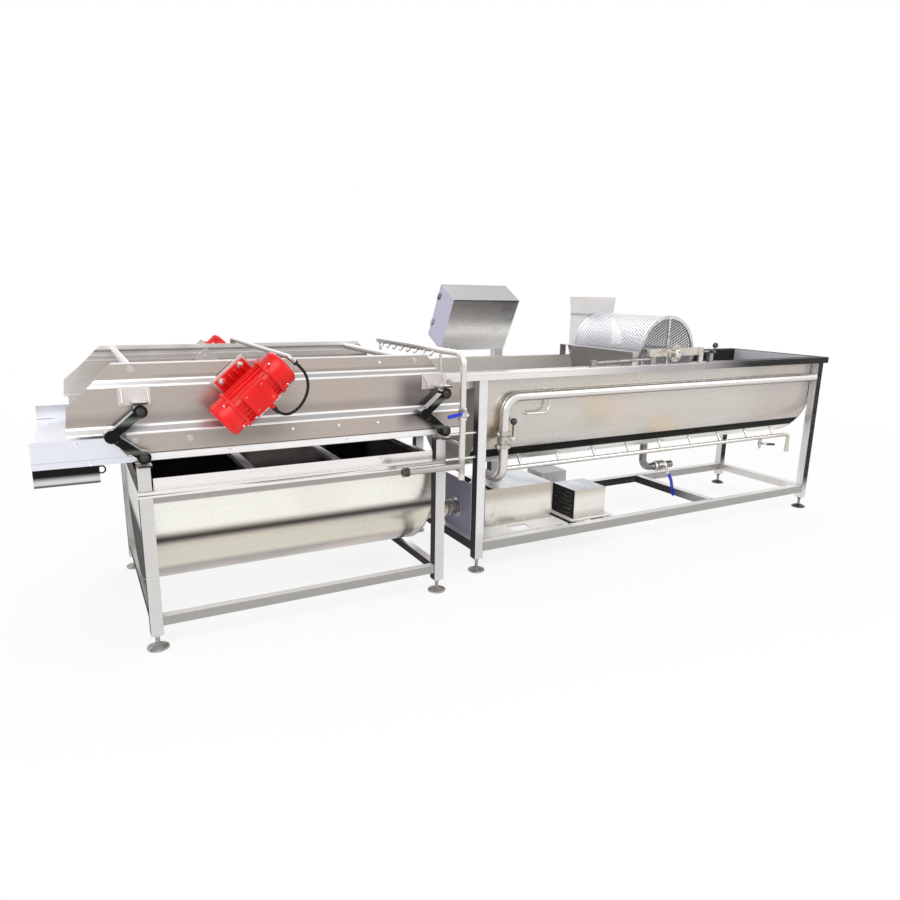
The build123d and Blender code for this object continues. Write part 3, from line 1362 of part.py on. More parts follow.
with BuildPart() as base_brackets:
    for pivot_x, knee_x in pivots.values():
        for side in (-1, 1):
            y = side * mount_y
            block(pivot_x - arm_boss, pivot_x + arm_boss, y - cheek_out, y + cheek_out,
                  post_top, post_top + web_thick)
            middle = y - side * (cheek_in + cheek_thick / 2)
            block(pivot_x - arm_pin * 2, pivot_x + arm_pin * 2, middle - cheek_thick / 2,
                  middle + cheek_thick / 2, post_top + web_thick, base_pivot_z)
            across(pivot_x, middle, base_pivot_z, cheek_thick / 2, arm_pin * 2)
            across(pivot_x, y + side * (cheek_in + cheek_thick / 2), base_pivot_z, cheek_thick / 2, pin_washer)
            across(pivot_x, y, base_pivot_z, cheek_out, arm_pin)
            hex_bolt((pivot_x, y + side * cheek_out, base_pivot_z), (0, side, 0), arm_pin, bolt_head_height)
base_brackets.part.label = "base_brackets"
export_step(base_brackets.part, "parts/base_brackets.step")

for name, (pivot_x, knee_x) in pivots.items():
    with BuildPart() as lower_arms:
        for side in (-1, 1):
            y = side * mount_y
            link(pivot_x, base_pivot_z, knee_x, knee_z, y, arm_half_width, 2 * arm_half)
            across(pivot_x, y, base_pivot_z, arm_half_width, arm_boss)
            across(knee_x, y, knee_z, arm_half_width, arm_boss)
            for end in (-1, 1):
                cut = y + end * (knee_tongue / 2 + arm_half_width)
                across(knee_x, cut, knee_z, arm_half_width, arm_boss + knee_swing, mode=Mode.SUBTRACT)
            for x, z in ((pivot_x, base_pivot_z), (knee_x, knee_z)):
                across(x, y, z, arm_half_width + overrun, arm_pin + arm_pin_clearance, mode=Mode.SUBTRACT)
    lower_arms.part.label = f"{name}_lower_arms"
    export_step(lower_arms.part, f"parts/{name}_lower_arms.step")

    with BuildPart() as upper_arms:
        for side in (-1, 1):
            y = side * mount_y
            link(pivot_x, top_pivot_z, knee_x, knee_z, y, arm_half_width, 2 * arm_half)
            across(pivot_x, y, top_pivot_z, arm_half_width, arm_boss)
            across(knee_x, y, knee_z, arm_half_width, arm_boss)
            across(knee_x, y, knee_z, knee_tongue / 2 + knee_gap, arm_boss + knee_swing,
                   mode=Mode.SUBTRACT)
            across(pivot_x, y, top_pivot_z, arm_half_width + overrun, arm_pin + arm_pin_clearance,
                   mode=Mode.SUBTRACT)
            across(knee_x, y, knee_z, arm_half_width, arm_pin)
    upper_arms.part.label = f"{name}_upper_arms"
    export_step(upper_arms.part, f"parts/{name}_upper_arms.step")

plate_mid = plate_y[1]
bracket_spans = {"left": [screen_x0 + reach for reach in left_bracket],
                 "right": [screen_x1 + reach for reach in right_bracket]}
with BuildPart() as upper_brackets:
    for name, (pivot_x, knee_x) in pivots.items():
        x0, x1 = bracket_spans[name]
        web_z = top_pivot_z + arm_boss + web_gap
        for side in (-1, 1):
            y = side * mount_y
            y0, y1 = sorted((side * plate_mid, side * (plate_mid + bracket_plate)))
            block(x0, x1, y0, y1, bracket_low, bracket_high)
            y0, y1 = sorted((side * plate_mid, side * (mount_y + cheek_out)))
            block(pivot_x - arm_boss, pivot_x + arm_boss, y0, y1, web_z, web_z + web_thick)
            middle = y - side * (cheek_in + cheek_thick / 2)
            block(pivot_x - 2 * arm_pin, pivot_x + 2 * arm_pin, middle - cheek_thick / 2,
                  middle + cheek_thick / 2, top_pivot_z, web_z)
            across(pivot_x, middle, top_pivot_z, cheek_thick / 2, 2 * arm_pin)
            across(pivot_x, y + side * (cheek_in + cheek_thick / 2), top_pivot_z, cheek_thick / 2, pin_washer)
            across(pivot_x, y, top_pivot_z, cheek_out, arm_pin)
            hex_bolt((pivot_x, y + side * cheek_out, top_pivot_z), (0, side, 0), arm_pin, bolt_head_height)
            for bolt_x in (x0 + 2 * bolt_head - overrun, x1 - 2 * bolt_head + overrun):
                for bolt_z in (bracket_low + 2 * bolt_head - overrun, bracket_high - 2 * bolt_head + overrun):
                    hex_bolt((bolt_x, side * (plate_mid + bracket_plate), bolt_z), (0, side, 0))
upper_brackets.part.label = "upper_brackets"
export_step(upper_brackets.part, "parts/upper_brackets.step")

# Side plates: bent outward in two steps going down, with a foot turned inward
plate_x0 = screen_x0 + left_profile[3][0]
plate_x1 = screen_x1 + right_profile[3][0]
plate_outline = [(screen_x0 + x, z) for x, z in left_profile] + [(screen_x0 + left_profile[4][0], plate_foot)]
plate_outline += [(plate_x1, plate_foot)] + [(screen_x1 + x, z) for x, z in reversed(right_profile)]
with BuildPart() as side_plates:
    top_z, step_z, band_z, low_z, foot_band_z, base_z = plate_levels
    outer = [(plate_y[0], top_z), (plate_y[0], step_z), (plate_y[1], band_z), (plate_y[1], low_z),
             (plate_y[2], foot_band_z), (plate_y[2], plate_foot)]
    inner = [(plate_y[2] - plate_foot_width, plate_foot),
             (plate_y[2] - plate_foot_width, plate_foot + plate_thick),
             (plate_y[2] - plate_thick, plate_foot + plate_thick), (plate_y[2] - plate_thick, foot_band_z),
             (plate_y[1] - plate_thick, low_z), (plate_y[1] - plate_thick, band_z),
             (plate_y[0] - plate_thick, step_z), (plate_y[0] - plate_thick, top_z)]
    for side in (-1, 1):
        prism(Plane.YZ.offset(plate_x0), [(side * y, z) for y, z in outer + inner], plate_x1 - plate_x0)
    prism(Plane.XZ, plate_outline, screen_half, both=True, mode=Mode.INTERSECT)
side_plates.part.label = "side_plates"
export_step(side_plates.part, "parts/side_plates.step")

# Cross bars bolted between the plates, and the square beams under the deck
deck_half = plate_y[1] - plate_thick
with BuildPart() as cross_members:
    for along, z in bar_places:
        outer_y = plate_y[0] if z > step_z else plate_y[2]
        x = screen_x0 + along
        rod((x, -outer_y + plate_thick, z), (x, outer_y - plate_thick, z), bar_radius)
        for side in (-1, 1):
            rod((x, side * outer_y, z), (x, side * (outer_y + plate_thick), z), bar_washer)
            hex_bolt((x, side * (outer_y + plate_thick), z), (0, side, 0))
    for along in beam_places:
        x = screen_x0 + along
        square_tube((x, -deck_half, deck_z - beam_height / 2), (x, deck_half, deck_z - beam_height / 2),
                    beam_width, tube_wall)
cross_members.part.label = "cross_members"
export_step(cross_members.part, "parts/cross_members.step")

# Slotted deck
with BuildPart() as screen_deck:
    deck_x0 = screen_x0 + deck_left
    deck_x1 = screen_x1 + deck_right
    with BuildSketch(Plane.XY.offset(deck_z)):
        with Locations(((deck_x0 + deck_x1) / 2, 0)):
            Rectangle(deck_x1 - deck_x0, 2 * deck_half)
            with GridLocations(slot_pitch_x, slot_pitch_y, slot_columns, slot_rows):
                Rectangle(slot_length, slot_width, mode=Mode.SUBTRACT)
    extrude(amount=deck_thick)
screen_deck.part.label = "screen_deck"
export_step(screen_deck.part, "parts/screen_deck.step")

# Discharge chute at the free end, and the dark lip below it with its lifting ring
chute_x0 = screen_x0 - chute_reach
chute_y = plate_y[2]
chute_end = left_profile[4][0]
with BuildPart() as discharge_chute:
    shoulder_x, shoulder_z = chute_shoulder
    side_outline = [(chute_x0, chute_high), (screen_x0 + shoulder_x, shoulder_z),
                    (screen_x0 + chute_end, chute_low), (screen_x0 + chute_end + chute_lap, chute_low),
                    (screen_x0 + chute_end + chute_lap, plate_foot), (chute_x0, plate_foot)]
    for side in (-1, 1):
        prism(Plane(origin=(0, side * (chute_y + chute_wall / 2), 0), x_dir=(1, 0, 0), z_dir=(0, -1, 0)),
              side_outline, chute_wall / 2, both=True)
    floor_x1 = screen_x0 + shoulder_x
    floor_z0 = chute_low + chute_wall
    floor_z1 = floor_z0 + chute_floor_drop
    prism(Plane.XZ, [(chute_x0, floor_z0), (floor_x1, floor_z1), (floor_x1, shoulder_z),
                     (floor_x1 - chute_wall, shoulder_z), (floor_x1 - chute_wall, floor_z1 + chute_wall),
                     (chute_x0, floor_z0 + chute_wall)], chute_y, both=True)
discharge_chute.part.label = "discharge_chute"
export_step(discharge_chute.part, "parts/discharge_chute.step")

with BuildPart() as chute_lip:
    lip_x1 = screen_x0 - lip_end
    prism(Plane.XZ, [(chute_x0, plate_foot), (chute_x0 + lip_thick, plate_foot),
                     (lip_x1, lip_low + lip_thick), (lip_x1, lip_low), (chute_x0, plate_foot - lip_thick)],
          chute_y + chute_wall, both=True)
    for side in (-1, 1):
        y0, y1 = sorted((side * (chute_y + chute_wall - lip_thick), side * (chute_y + chute_wall)))
        block(chute_x0, lip_x1, y0, y1, lip_low, plate_foot)
    with Locations(Location((lip_x1 + ring_radius / 2, -chute_y, plate_foot - ring_radius - ring_wire),
                            (90, 0, 0))):
        Torus(ring_radius, ring_wire)
chute_lip.part.label = "chute_lip"
export_step(chute_lip.part, "parts/chute_lip.step")

# Vibration motors: one tilted on each side plate, front and back alike.
# A motor's own directions are along its shaft, across it, and outward from the screen.
vib_x = screen_x0 + vib_along
tilt = radians(vib_tilt)


def vib_point(side, along, crossways, out):
    """A point of a vibration motor from its own three directions."""
    return Vector(vib_x + along * cos(tilt) - crossways * sin(tilt), side * out,
                  vib_z + along * sin(tilt) + crossways * cos(tilt))


def vib_block(side, along, crossways, out0, out1, mode=Mode.ADD, shift=0):
    """A block centred on the motor's own axis line, between two distances out."""
    plane = Plane(origin=vib_point(side, 0, shift, out0), x_dir=(cos(tilt), 0, sin(tilt)), z_dir=(0, side, 0))
    with BuildSketch(plane, mode=Mode.PRIVATE) as face:
        Rectangle(along, crossways)
    extrude(face.sketch, amount=out1 - out0, mode=mode)


vib_half = vib_length / 2
vib_seat = plate_y[1] + vib_pad_thick
with BuildPart() as motor_housings:
    for side in (-1, 1):
        rod(vib_point(side, -vib_half, 0, vib_y), vib_point(side, vib_half, 0, vib_y), vib_radius)
        fin_plane = Plane(origin=vib_point(side, -vib_half, 0, vib_y), z_dir=(cos(tilt), 0, sin(tilt)))
        with BuildSketch(fin_plane, mode=Mode.PRIVATE) as fins:
            with PolarLocations(vib_radius, vib_fins):
                Rectangle(2 * vib_fin, fin_thick)
        extrude(fins.sketch, amount=vib_length)
        vib_block(side, vib_foot_along, vib_foot_across, vib_seat, vib_seat + vib_foot_thick)
        vib_block(side, vib_foot_along - tube_side, vib_foot_across / 2, vib_seat, vib_y)
        rod(vib_point(side, -vib_half + vib_shield, 0, vib_y),
            vib_point(side, vib_half - vib_shield, 0, vib_y), vib_bore, mode=Mode.SUBTRACT)
        rod(vib_point(side, -vib_half - overrun, 0, vib_y), vib_point(side, vib_half + overrun, 0, vib_y),
            vib_shaft + running_gap, mode=Mode.SUBTRACT)
        for end in (-1, 1):
            for crossways in (-vib_foot_bolt_across, vib_foot_bolt_across):
                hex_bolt(vib_point(side, end * vib_foot_bolt_along, crossways, vib_seat + vib_foot_thick),
                         (0, side, 0), bolt_head, bolt_head)
            cap_start = end * (vib_half + weld_gap)
            cap_end = end * (vib_half + vib_cap_length)
            rod(vib_point(side, cap_start, 0, vib_y), vib_point(side, cap_end, 0, vib_y), vib_cap_radius)
            rod(vib_point(side, cap_start - end * overrun, 0, vib_y),
                vib_point(side, cap_end - end * (vib_cap_round + overrun), 0, vib_y),
                vib_cap_radius - 2 * sheet, mode=Mode.SUBTRACT)
    for side in (-1, 1):
        middle = vib_point(side, 0, 0, vib_y)
        rims = [edge for edge in motor_housings.edges().filter_by(GeomType.CIRCLE)
                if edge.radius > vib_radius + vib_fin / 2
                and vib_half + vib_cap_length / 2 < (edge.arc_center - middle).length < 2 * vib_length]
        fillet(rims, radius=vib_cap_round)
motor_housings.part.label = "motor_housings"
export_step(motor_housings.part, "parts/motor_housings.step")

rotor_half = vib_rotor_length / 2
for name, side in (("front", -1), ("back", 1)):
    with BuildPart() as vib_rotor_part:
        shaft_half = vib_half + vib_cap_length - 2 * vib_cap_round
        rod(vib_point(side, -shaft_half, 0, vib_y), vib_point(side, shaft_half, 0, vib_y), vib_shaft)
        rod(vib_point(side, -rotor_half, 0, vib_y), vib_point(side, rotor_half, 0, vib_y), vib_rotor)
        for end in (-1, 1):
            start = vib_half + vib_shield / 2
            plane = Plane(origin=vib_point(side, end * start, 0, vib_y),
                          x_dir=(-sin(tilt), 0, cos(tilt)), z_dir=(end * cos(tilt), 0, end * sin(tilt)))
            with BuildSketch(plane, mode=Mode.PRIVATE) as weight:
                Circle(vib_weight)
                with Locations((vib_weight + vib_shaft / 2, 0)):
                    Rectangle(2 * vib_weight, 2 * vib_weight, mode=Mode.SUBTRACT)
            extrude(weight.sketch, amount=vib_weight_length)
    vib_rotor_part.part.label = f"{name}_rotor"
    export_step(vib_rotor_part.part, f"parts/{name}_rotor.step")

# Terminal boxes on the outer sides of the motors, each with its lid, screws and cable gland
gland_side = -box_across / 2
with BuildPart() as terminal_boxes:
    for side in (-1, 1):
        vib_block(side, box_along, box_across, box_base_y, box_lid_y)
        rod(vib_point(side, -vib_length, 0, vib_y), vib_point(side, vib_length, 0, vib_y),
            vib_radius + vib_fin + seat_gap, mode=Mode.SUBTRACT)
        vib_block(side, box_along + 2 * sheet, box_across + 2 * sheet, box_lid_y, box_face_y)
        for end in (-1, 1):
            for crossways in (-box_screw_across, box_screw_across):
                rod(vib_point(side, end * box_screw_along, crossways, box_face_y),
                    vib_point(side, end * box_screw_along, crossways, box_face_y + sheet), screw_radius)
        rod(vib_point(side, gland_radius, gland_side, gland_out),
            vib_point(side, gland_radius, gland_side - gland_length, gland_out), gland_radius)
        with BuildSketch(Plane(origin=vib_point(side, gland_radius, gland_side, gland_out),
                               z_dir=(sin(tilt), 0, -cos(tilt))), mode=Mode.PRIVATE) as nut:
            RegularPolygon(gland_radius + sheet, 6)
        extrude(nut.sketch, amount=gland_length / 2)
terminal_boxes.part.label = "terminal_boxes"
export_step(terminal_boxes.part, "parts/terminal_boxes.step")

# Motor mounts: outer pads, packing behind them, and triangular stiffeners inside the plates
with BuildPart() as motor_mounts:
    pad_low = low_z + sheet
    for side in (-1, 1):
        vib_block(side, vib_foot_along + 2 * bolt_head, vib_foot_across + 2 * bolt_head, plate_y[1], vib_seat)
        y0, y1 = sorted((side * plate_y[0], side * plate_y[1]))
        block(vib_x - tube_side, vib_x + tube_side, y0, y1, step_z + overrun, top_z - overrun)
        y_face = side * (plate_y[0] - plate_thick)
        stiffener = [(vib_x - stiffener_base / 2, stiffener_z), (vib_x + stiffener_base / 2, stiffener_z),
                     (vib_x + vib_shield, stiffener_z + stiffener_rise),
                     (vib_x - vib_shield, stiffener_z + stiffener_rise)]
        y0, y1 = sorted((y_face, y_face - side * bracket_plate))
        prism(Plane(origin=(0, y1, 0), x_dir=(1, 0, 0), z_dir=(0, -1, 0)), stiffener, y1 - y0)
        hex_bolt((vib_x, y_face - side * bracket_plate, stiffener_z + stiffener_rise / 2), (0, -side, 0))
    block(vib_x - vib_length, vib_x + vib_length, -vib_seat - overrun, vib_seat + overrun,
          low_z - 2 * tube_side, pad_low, mode=Mode.SUBTRACT)
motor_mounts.part.label = "motor_mounts"
export_step(motor_mounts.part, "parts/motor_mounts.step")

# Conduit bar across the top of the side plates, its front end turned down towards the motor
conduit_x = screen_x0 + conduit_along
conduit_z = top_z + saddle_height + conduit_radius
with BuildPart() as conduit_bar:
    elbow = [(conduit_x, conduit_back, conduit_z), (conduit_x, elbow_y, conduit_z),
             (conduit_x + elbow_run * elbow_reach, elbow_y, conduit_z - elbow_fall * elbow_reach)]
    bent_bar(elbow, elbow_reach / 2 + sheet, conduit_radius)
    for side in (-1, 1):
        y = side * (plate_y[0] - plate_thick / 2)
        block(conduit_x - saddle_width / 2, conduit_x + saddle_width / 2, y - saddle_width / 2,
              y + saddle_width / 2, top_z, conduit_z)
    bent_bar(elbow, elbow_reach / 2 + sheet, conduit_radius - conduit_wall, mode=Mode.SUBTRACT)
conduit_bar.part.label = "conduit_bar"
export_step(conduit_bar.part, "parts/conduit_bar.step")

# Cable from the front motor's gland up to the conduit's turned-down end, hanging in a free loop
mouth = Vector(*elbow[-1])
mouth_out = Vector(elbow_run, 0, -elbow_fall)
cable_route = [vib_point(-1, gland_radius, gland_side - gland_length - reach, gland_out)
               for reach in (0, cable_lead)]
cable_route += list(cable_way) + [mouth + mouth_out * elbow_lead, mouth - mouth_out * cable_tuck]
cable_points = [Vector(*point) for point in cable_route]
cable_bends = []
for before, corner, after in zip(cable_points[:-2], cable_points[1:-1], cable_points[2:]):
    turn = radians((corner - before).get_angle(after - corner))
    shorter = min((corner - before).length, (after - corner).length)
    cable_bends.append(cable_bend_share * shorter / tan(turn / 2))
with BuildPart() as motor_cable:
    bent_bar(cable_points, cable_bends, cable_radius)
motor_cable.part.label = "motor_cable"
export_step(motor_cable.part, "parts/motor_cable.step")

# Spray pipework: bar across the line with its nozzles, riser with a branch, and its supports
branch_x = tank_x0 + branch_end
with BuildPart() as spray_pipework:
    bar_route = [(spray_x, spray_back, spray_z), (spray_x, spray_y, spray_z),
                 (spray_x, spray_y, spray_valve_z + spray_valve_half)]
    bent_bar(bar_route, spray_bend, spray_radius)
    for side in (-1, 1):
        rod((spray_x, side * standoff_y, rim_top), (spray_x, side * standoff_y, spray_z), standoff_radius)
    nozzle_share = sqrt(0.5)
    for index in range(nozzle_count):
        y = nozzle_first + nozzle_pitch * index
        drop = nozzle_share * (spray_radius + nozzle_length)
        rod((spray_x, y, spray_z), (spray_x - drop, y, spray_z - drop), nozzle_radius)
    bar_bore = [(spray_x, spray_back - sheet, spray_z)] + bar_route[1:]
    bent_bar(bar_bore, spray_bend, spray_radius - spray_wall, mode=Mode.SUBTRACT)
    for index in range(nozzle_count):
        y = nozzle_first + nozzle_pitch * index
        drop = nozzle_share * (spray_radius + nozzle_length + overrun)
        rod((spray_x, y, spray_z), (spray_x - drop, y, spray_z - drop), nozzle_radius / 2, mode=Mode.SUBTRACT)
    rod((spray_x, spray_y, spray_inlet_z), (spray_x, spray_y, spray_valve_z - spray_valve_half), spray_radius)
    rod((spray_x, spray_y, branch_z), (branch_x, spray_y, branch_z), spray_radius)
    rod((branch_x + branch_collar_length, spray_y, branch_z), (branch_x, spray_y, branch_z), branch_collar)
    for z in bracket_levels:
        bent_bar([(tank_x0, pipe_y, z), (spray_x, pipe_y, z), (spray_x, spray_y, z)], spray_bend, bracket_rod)
    rod((spray_x, spray_y, spray_inlet_z - overrun),
        (spray_x, spray_y, spray_valve_z - spray_valve_half + overrun), spray_radius - spray_wall,
        mode=Mode.SUBTRACT)
    rod((spray_x, spray_y, branch_z), (branch_x - overrun, spray_y, branch_z), spray_radius - spray_wall,
        mode=Mode.SUBTRACT)
    socket = spray_radius - spray_wall + socket_gap
    rod((spray_x, spray_y, spray_inlet_z - overrun), (spray_x, spray_y, spray_inlet_z + spray_inlet_depth),
        socket, mode=Mode.SUBTRACT)
    rod((branch_x - overrun, spray_y, branch_z), (branch_x + branch_inlet_depth, spray_y, branch_z),
        socket, mode=Mode.SUBTRACT)
spray_pipework.part.label = "spray_pipework"
export_step(spray_pipework.part, "parts/spray_pipework.step")
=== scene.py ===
"""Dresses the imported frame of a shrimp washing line: finishes, fastenings, welds and soft parts."""
import math

import bmesh
import bpy
from bpy.props import FloatProperty, FloatVectorProperty, IntProperty, PointerProperty
from mathutils import Matrix, Vector


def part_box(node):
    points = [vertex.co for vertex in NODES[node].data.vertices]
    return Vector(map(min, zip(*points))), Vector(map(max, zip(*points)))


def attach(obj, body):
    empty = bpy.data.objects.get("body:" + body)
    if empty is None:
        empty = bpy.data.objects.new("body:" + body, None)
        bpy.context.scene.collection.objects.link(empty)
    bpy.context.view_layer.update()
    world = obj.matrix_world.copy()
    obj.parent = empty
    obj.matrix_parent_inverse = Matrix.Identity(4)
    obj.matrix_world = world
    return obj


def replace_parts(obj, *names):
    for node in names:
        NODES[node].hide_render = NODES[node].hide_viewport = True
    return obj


bl_info = {
    "name": "Shrimp Washing Line",
    "version": (1, 0, 0),
    "blender": (4, 5, 0),
    "location": "View3D > Sidebar > Washing Line",
    "description": "Builds the visible pieces and finishes of a shrimp washing line round its frame",
    "category": "Object",
}

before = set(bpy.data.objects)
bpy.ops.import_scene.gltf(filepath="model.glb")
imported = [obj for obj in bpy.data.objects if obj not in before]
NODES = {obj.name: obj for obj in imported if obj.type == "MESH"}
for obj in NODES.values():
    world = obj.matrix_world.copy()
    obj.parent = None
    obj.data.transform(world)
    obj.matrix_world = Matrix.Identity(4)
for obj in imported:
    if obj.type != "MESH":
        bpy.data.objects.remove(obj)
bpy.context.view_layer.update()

# Places from the source, in metres: X along the line to the feed end, Y to the operator's side at the
# back, Z up
SCREEN_X0 = -2.0425
SCREEN_X1 = -0.6675
TANK_X0 = -0.4065
TANK_X1 = 2.3715
TANK_LEG_Y = 0.365
SCREEN_LEG_Y = 0.4992
LEG_X_TANK = (TANK_X0 + 0.025, TANK_X1 - 0.025)
LEG_X_SCREEN = (SCREEN_X0 + 0.0278, SCREEN_X1 - 0.0278)
DRUM = Vector((0.9435, 0, 1.145))
DRUM_FRONT = -0.328
DRUM_BACK = 0.292
DRUM_RADIUS = 0.215
MOTOR = Vector((-1.5885, 0, 1.065))
MOTOR_TILT = math.radians(41)
MOTOR_OUT = 0.580
CABINET = Vector((-0.1465, 0.365, 1.430))
CABINET_LEAN = math.radians(28.4)
CABINET_WIDTH = 0.475
CABINET_HEIGHT = 0.360
CABINET_DEPTH = 0.193
RISER_X = -0.2345
PIPE_Y = -0.368
PUMP_Y = -0.090
PUMP_Z = 0.285
DRAIN_X, DRAIN_Z = 1.2935, 0.335
SAMPLE_X, SAMPLE_Y, SAMPLE_Z = 2.0055, -0.240, 0.477
SPRAY_X, SPRAY_Y, SPRAY_VALVE_Z = -0.6245, -0.605, 0.920
TUBE = 0.050
RAIL_LOW, RAIL_HIGH = 0.118, 0.166
SCREEN_POST_FOOT = 0.6865
TROUGH_AXIS_Z = 0.850
BASIN_AXIS_Z = 0.610
PLATES_TOP = 0.172
BLOWER_TOP = 0.346
LOUVRES = 6
NOZZLES = 8
NOZZLE_PITCH = 0.088
CAMERA_PLACE = (-2.2417, -3.4214, 1.4764)
CAMERA_TURN = (28.77, -13.47, 1.01)
CAMERA_SHIFT = (0.0013, 0.0104)
CABLE_DIAMETER = 0.012
X_AXIS = Vector((1, 0, 0))
Y_AXIS = Vector((0, 1, 0))
Z_AXIS = Vector((0, 0, 1))


def length(label, text, value):
    """A length that a user may change."""
    return FloatProperty(name=label, description=text, default=value, unit="LENGTH")


def tone(label, text, value):
    """A colour that a user may change."""
    return FloatVectorProperty(name=label, description=text, subtype="COLOR", default=value)


class LineSizes(bpy.types.PropertyGroup):
    """Sizes that a user may change."""

    hole_columns: IntProperty(name="Drum hole columns", description="Holes round the drum", default=84)
    hole_rows: IntProperty(name="Drum hole rows", description="Rows of holes along the drum", default=42)
    hole_radius: length("Drum hole radius", "Radius of one drum hole", 0.0049)
    drum_wall: length("Drum wall", "Thickness of the drum's sheet", 0.0018)
    thread_pitch: length("Stud thread pitch", "Pitch of the levelling studs", 0.0025)
    weld_radius: length("Weld bead", "Radius of one drop of a weld bead", 0.0032)
    screw_radius: length("Cover screw", "Radius of a cover screw's head", 0.0065)
    hose_pitch: length("Hose rib pitch", "Distance between ribs of the suction hose", 0.0105)
    lens: FloatProperty(name="Lens", description="Focal length of the view", default=27.96)


class LineColours(bpy.types.PropertyGroup):
    """Colours that a user may change, linear values."""

    steel_side: tone("Steel, upright", "Upright faces of brushed sheet", (0.50, 0.455, 0.42))
    # Painted light on brushed sheet: faces that look up are painted lighter as a highlight, faces that
    # look down darker as shade.
    steel_highlight: tone("Steel, upward", "Faces of brushed sheet that look up", (0.86, 0.84, 0.82))
    steel_shade: tone("Steel, downward", "Faces of sheet that look down", (0.26, 0.245, 0.24))
    tube: tone("Stand tube", "Front faces of the square tube", (0.68, 0.665, 0.65))
    pipe: tone("Pipe", "Polished pipe", (0.74, 0.71, 0.68))
    motor_red: tone("Motor paint", "Paint of the vibration motors", (0.78, 0.004, 0.003))
    handle_blue: tone("Handle sleeve", "Dipped sleeve of the valve levers", (0.012, 0.03, 0.50))
    drive_paint: tone("Drive column", "Paint of the drum drive's column", (0.80, 0.79, 0.78))
    panel_lavender: tone("Pump panel", "Side panel of the pump bay", (0.42, 0.40, 0.52))
    backdrop: tone("Backdrop", "Floor and backdrop", (0.97, 0.97, 0.97))


def sizes():
    """The user's sizes."""
    return bpy.context.scene.line_sizes


def colours():
    """The user's colours."""
    return bpy.context.scene.line_colours


class Number:
    """A shader value that Python's signs join with Math nodes."""

    def __init__(self, finish, socket):
        self.finish = finish
        self.socket = socket

    def __add__(self, other):
        return self.finish.math("ADD", self, other)

    def __sub__(self, other):
        return self.finish.math("SUBTRACT", self, other)

    def __rsub__(self, other):
        return self.finish.math("SUBTRACT", other, self)

    def __mul__(self, other):
        return self.finish.math("MULTIPLY", self, other)

    def __neg__(self):
        return self.finish.math("MULTIPLY", self, -1)

    def __abs__(self):
        return self.finish.math("ABSOLUTE", self)

    __radd__ = __add__
    __rmul__ = __mul__


class Finish:
    """A node material in the making."""

    def __init__(self, name):
        self.material = bpy.data.materials.new(name)
        self.material.use_nodes = True
        self.tree = self.material.node_tree
        self.tree.nodes.clear()
        self.output = self.node("ShaderNodeOutputMaterial")
        self.shader = self.node("ShaderNodeBsdfPrincipled")
        self.link(self.shader.outputs[0], self.output.inputs["Surface"])
        self.where = self.node("ShaderNodeTexCoord")
        self.dull = 0

    def link(self, start, end):
        """Joins two sockets."""
        self.tree.links.new(start, end)

    def node(self, kind, settings=None, inputs=None):
        """Adds a node of a kind, its settings first and then the values or links of its sockets."""
        node = self.tree.nodes.new(kind)
        for key, value in (settings or {}).items():
            setattr(node, key, value)
        for key, value in (inputs or {}).items():
            self.put(node.inputs[key], value)
        return node

    def put(self, socket, value):
        """Sets a socket to a value, or links it."""
        if isinstance(value, Number):
            value = value.socket
        if isinstance(value, bpy.types.NodeSocket):
            self.link(value, socket)
        elif socket.type == "RGBA" and len(value) == 3:
            socket.default_value = (*value, 1)
        else:
            socket.default_value = value

    def math(self, operation, first, second=None):
        """A Math node's result."""
        node = self.node("ShaderNodeMath", {"operation": operation}, {0: first})
        if second is not None:
            self.put(node.inputs[1], second)
        return Number(self, node.outputs[0])

    def mix(self, factor, first, second):
        """A colour between two colours."""
        node = self.node("ShaderNodeMix", {"data_type": "RGBA"}, {0: factor, 6: first, 7: second})
        return node.outputs[2]

    def layers(self, colour, *coats):
        """A colour under coats of other tones, each as thick as its mask says."""
        for mask, tint in coats:
            colour = self.mix(mask, colour, tint)
        return colour

    def step(self, value, low, high):
        """Rises smoothly from 0 at low to 1 at high."""
        node = self.node("ShaderNodeMapRange", {"interpolation_type": "SMOOTHSTEP"},
                         {"Value": value, "From Min": low, "From Max": high})
        return Number(self, node.outputs[0])

    def band(self, value, low, high, soft):
        """1 between low and high, with soft edges."""
        return self.step(value, low - soft, low + soft) * (1 - self.step(value, high - soft, high + soft))

    def split(self, socket):
        """The three numbers of a vector."""
        node = self.node("ShaderNodeSeparateXYZ", None, {0: socket})
        return [Number(self, out) for out in node.outputs]

    def place(self):
        """Object coordinates."""
        return self.split(self.where.outputs["Object"])

    def facing(self):
        """The surface's own direction."""
        return self.split(self.where.outputs["Normal"])

    def noise(self, scale, detail=2.0, rough=0.5, stretch=(1, 1, 1)):
        """A noise value, stretched by three scales of its own."""
        mapped = self.node("ShaderNodeMapping", None,
                           {"Vector": self.where.outputs["Object"], "Scale": stretch})
        node = self.node("ShaderNodeTexNoise", None,
                         {"Vector": mapped.outputs[0], "Scale": scale, "Detail": detail,
                          "Roughness": rough})
        return Number(self, node.outputs[0])

    def outward(self, y, ny):
        """1 on faces that look away from the line's middle plane."""
        return self.step(y * ny, -0.01, 0.03)

    def bump(self, height, strength, distance=0.001):
        """A bump from a height."""
        node = self.node("ShaderNodeBump", None,
                         {"Height": height, "Strength": strength, "Distance": distance})
        self.link(node.outputs[0], self.shader.inputs["Normal"])

    def done(self, colour, rough, metallic=0.0, coat=0.0):
        """Sets the surface and gives the material."""
        self.put(self.shader.inputs["Base Color"], colour)
        self.put(self.shader.inputs["Roughness"], rough)
        self.put(self.shader.inputs["Metallic"], metallic)
        self.put(self.shader.inputs["Coat Weight"], coat)
        return self.material


GRAIN = {"X": (2, 260, 260), "Y": (260, 2, 260), "Z": (260, 260, 2)}


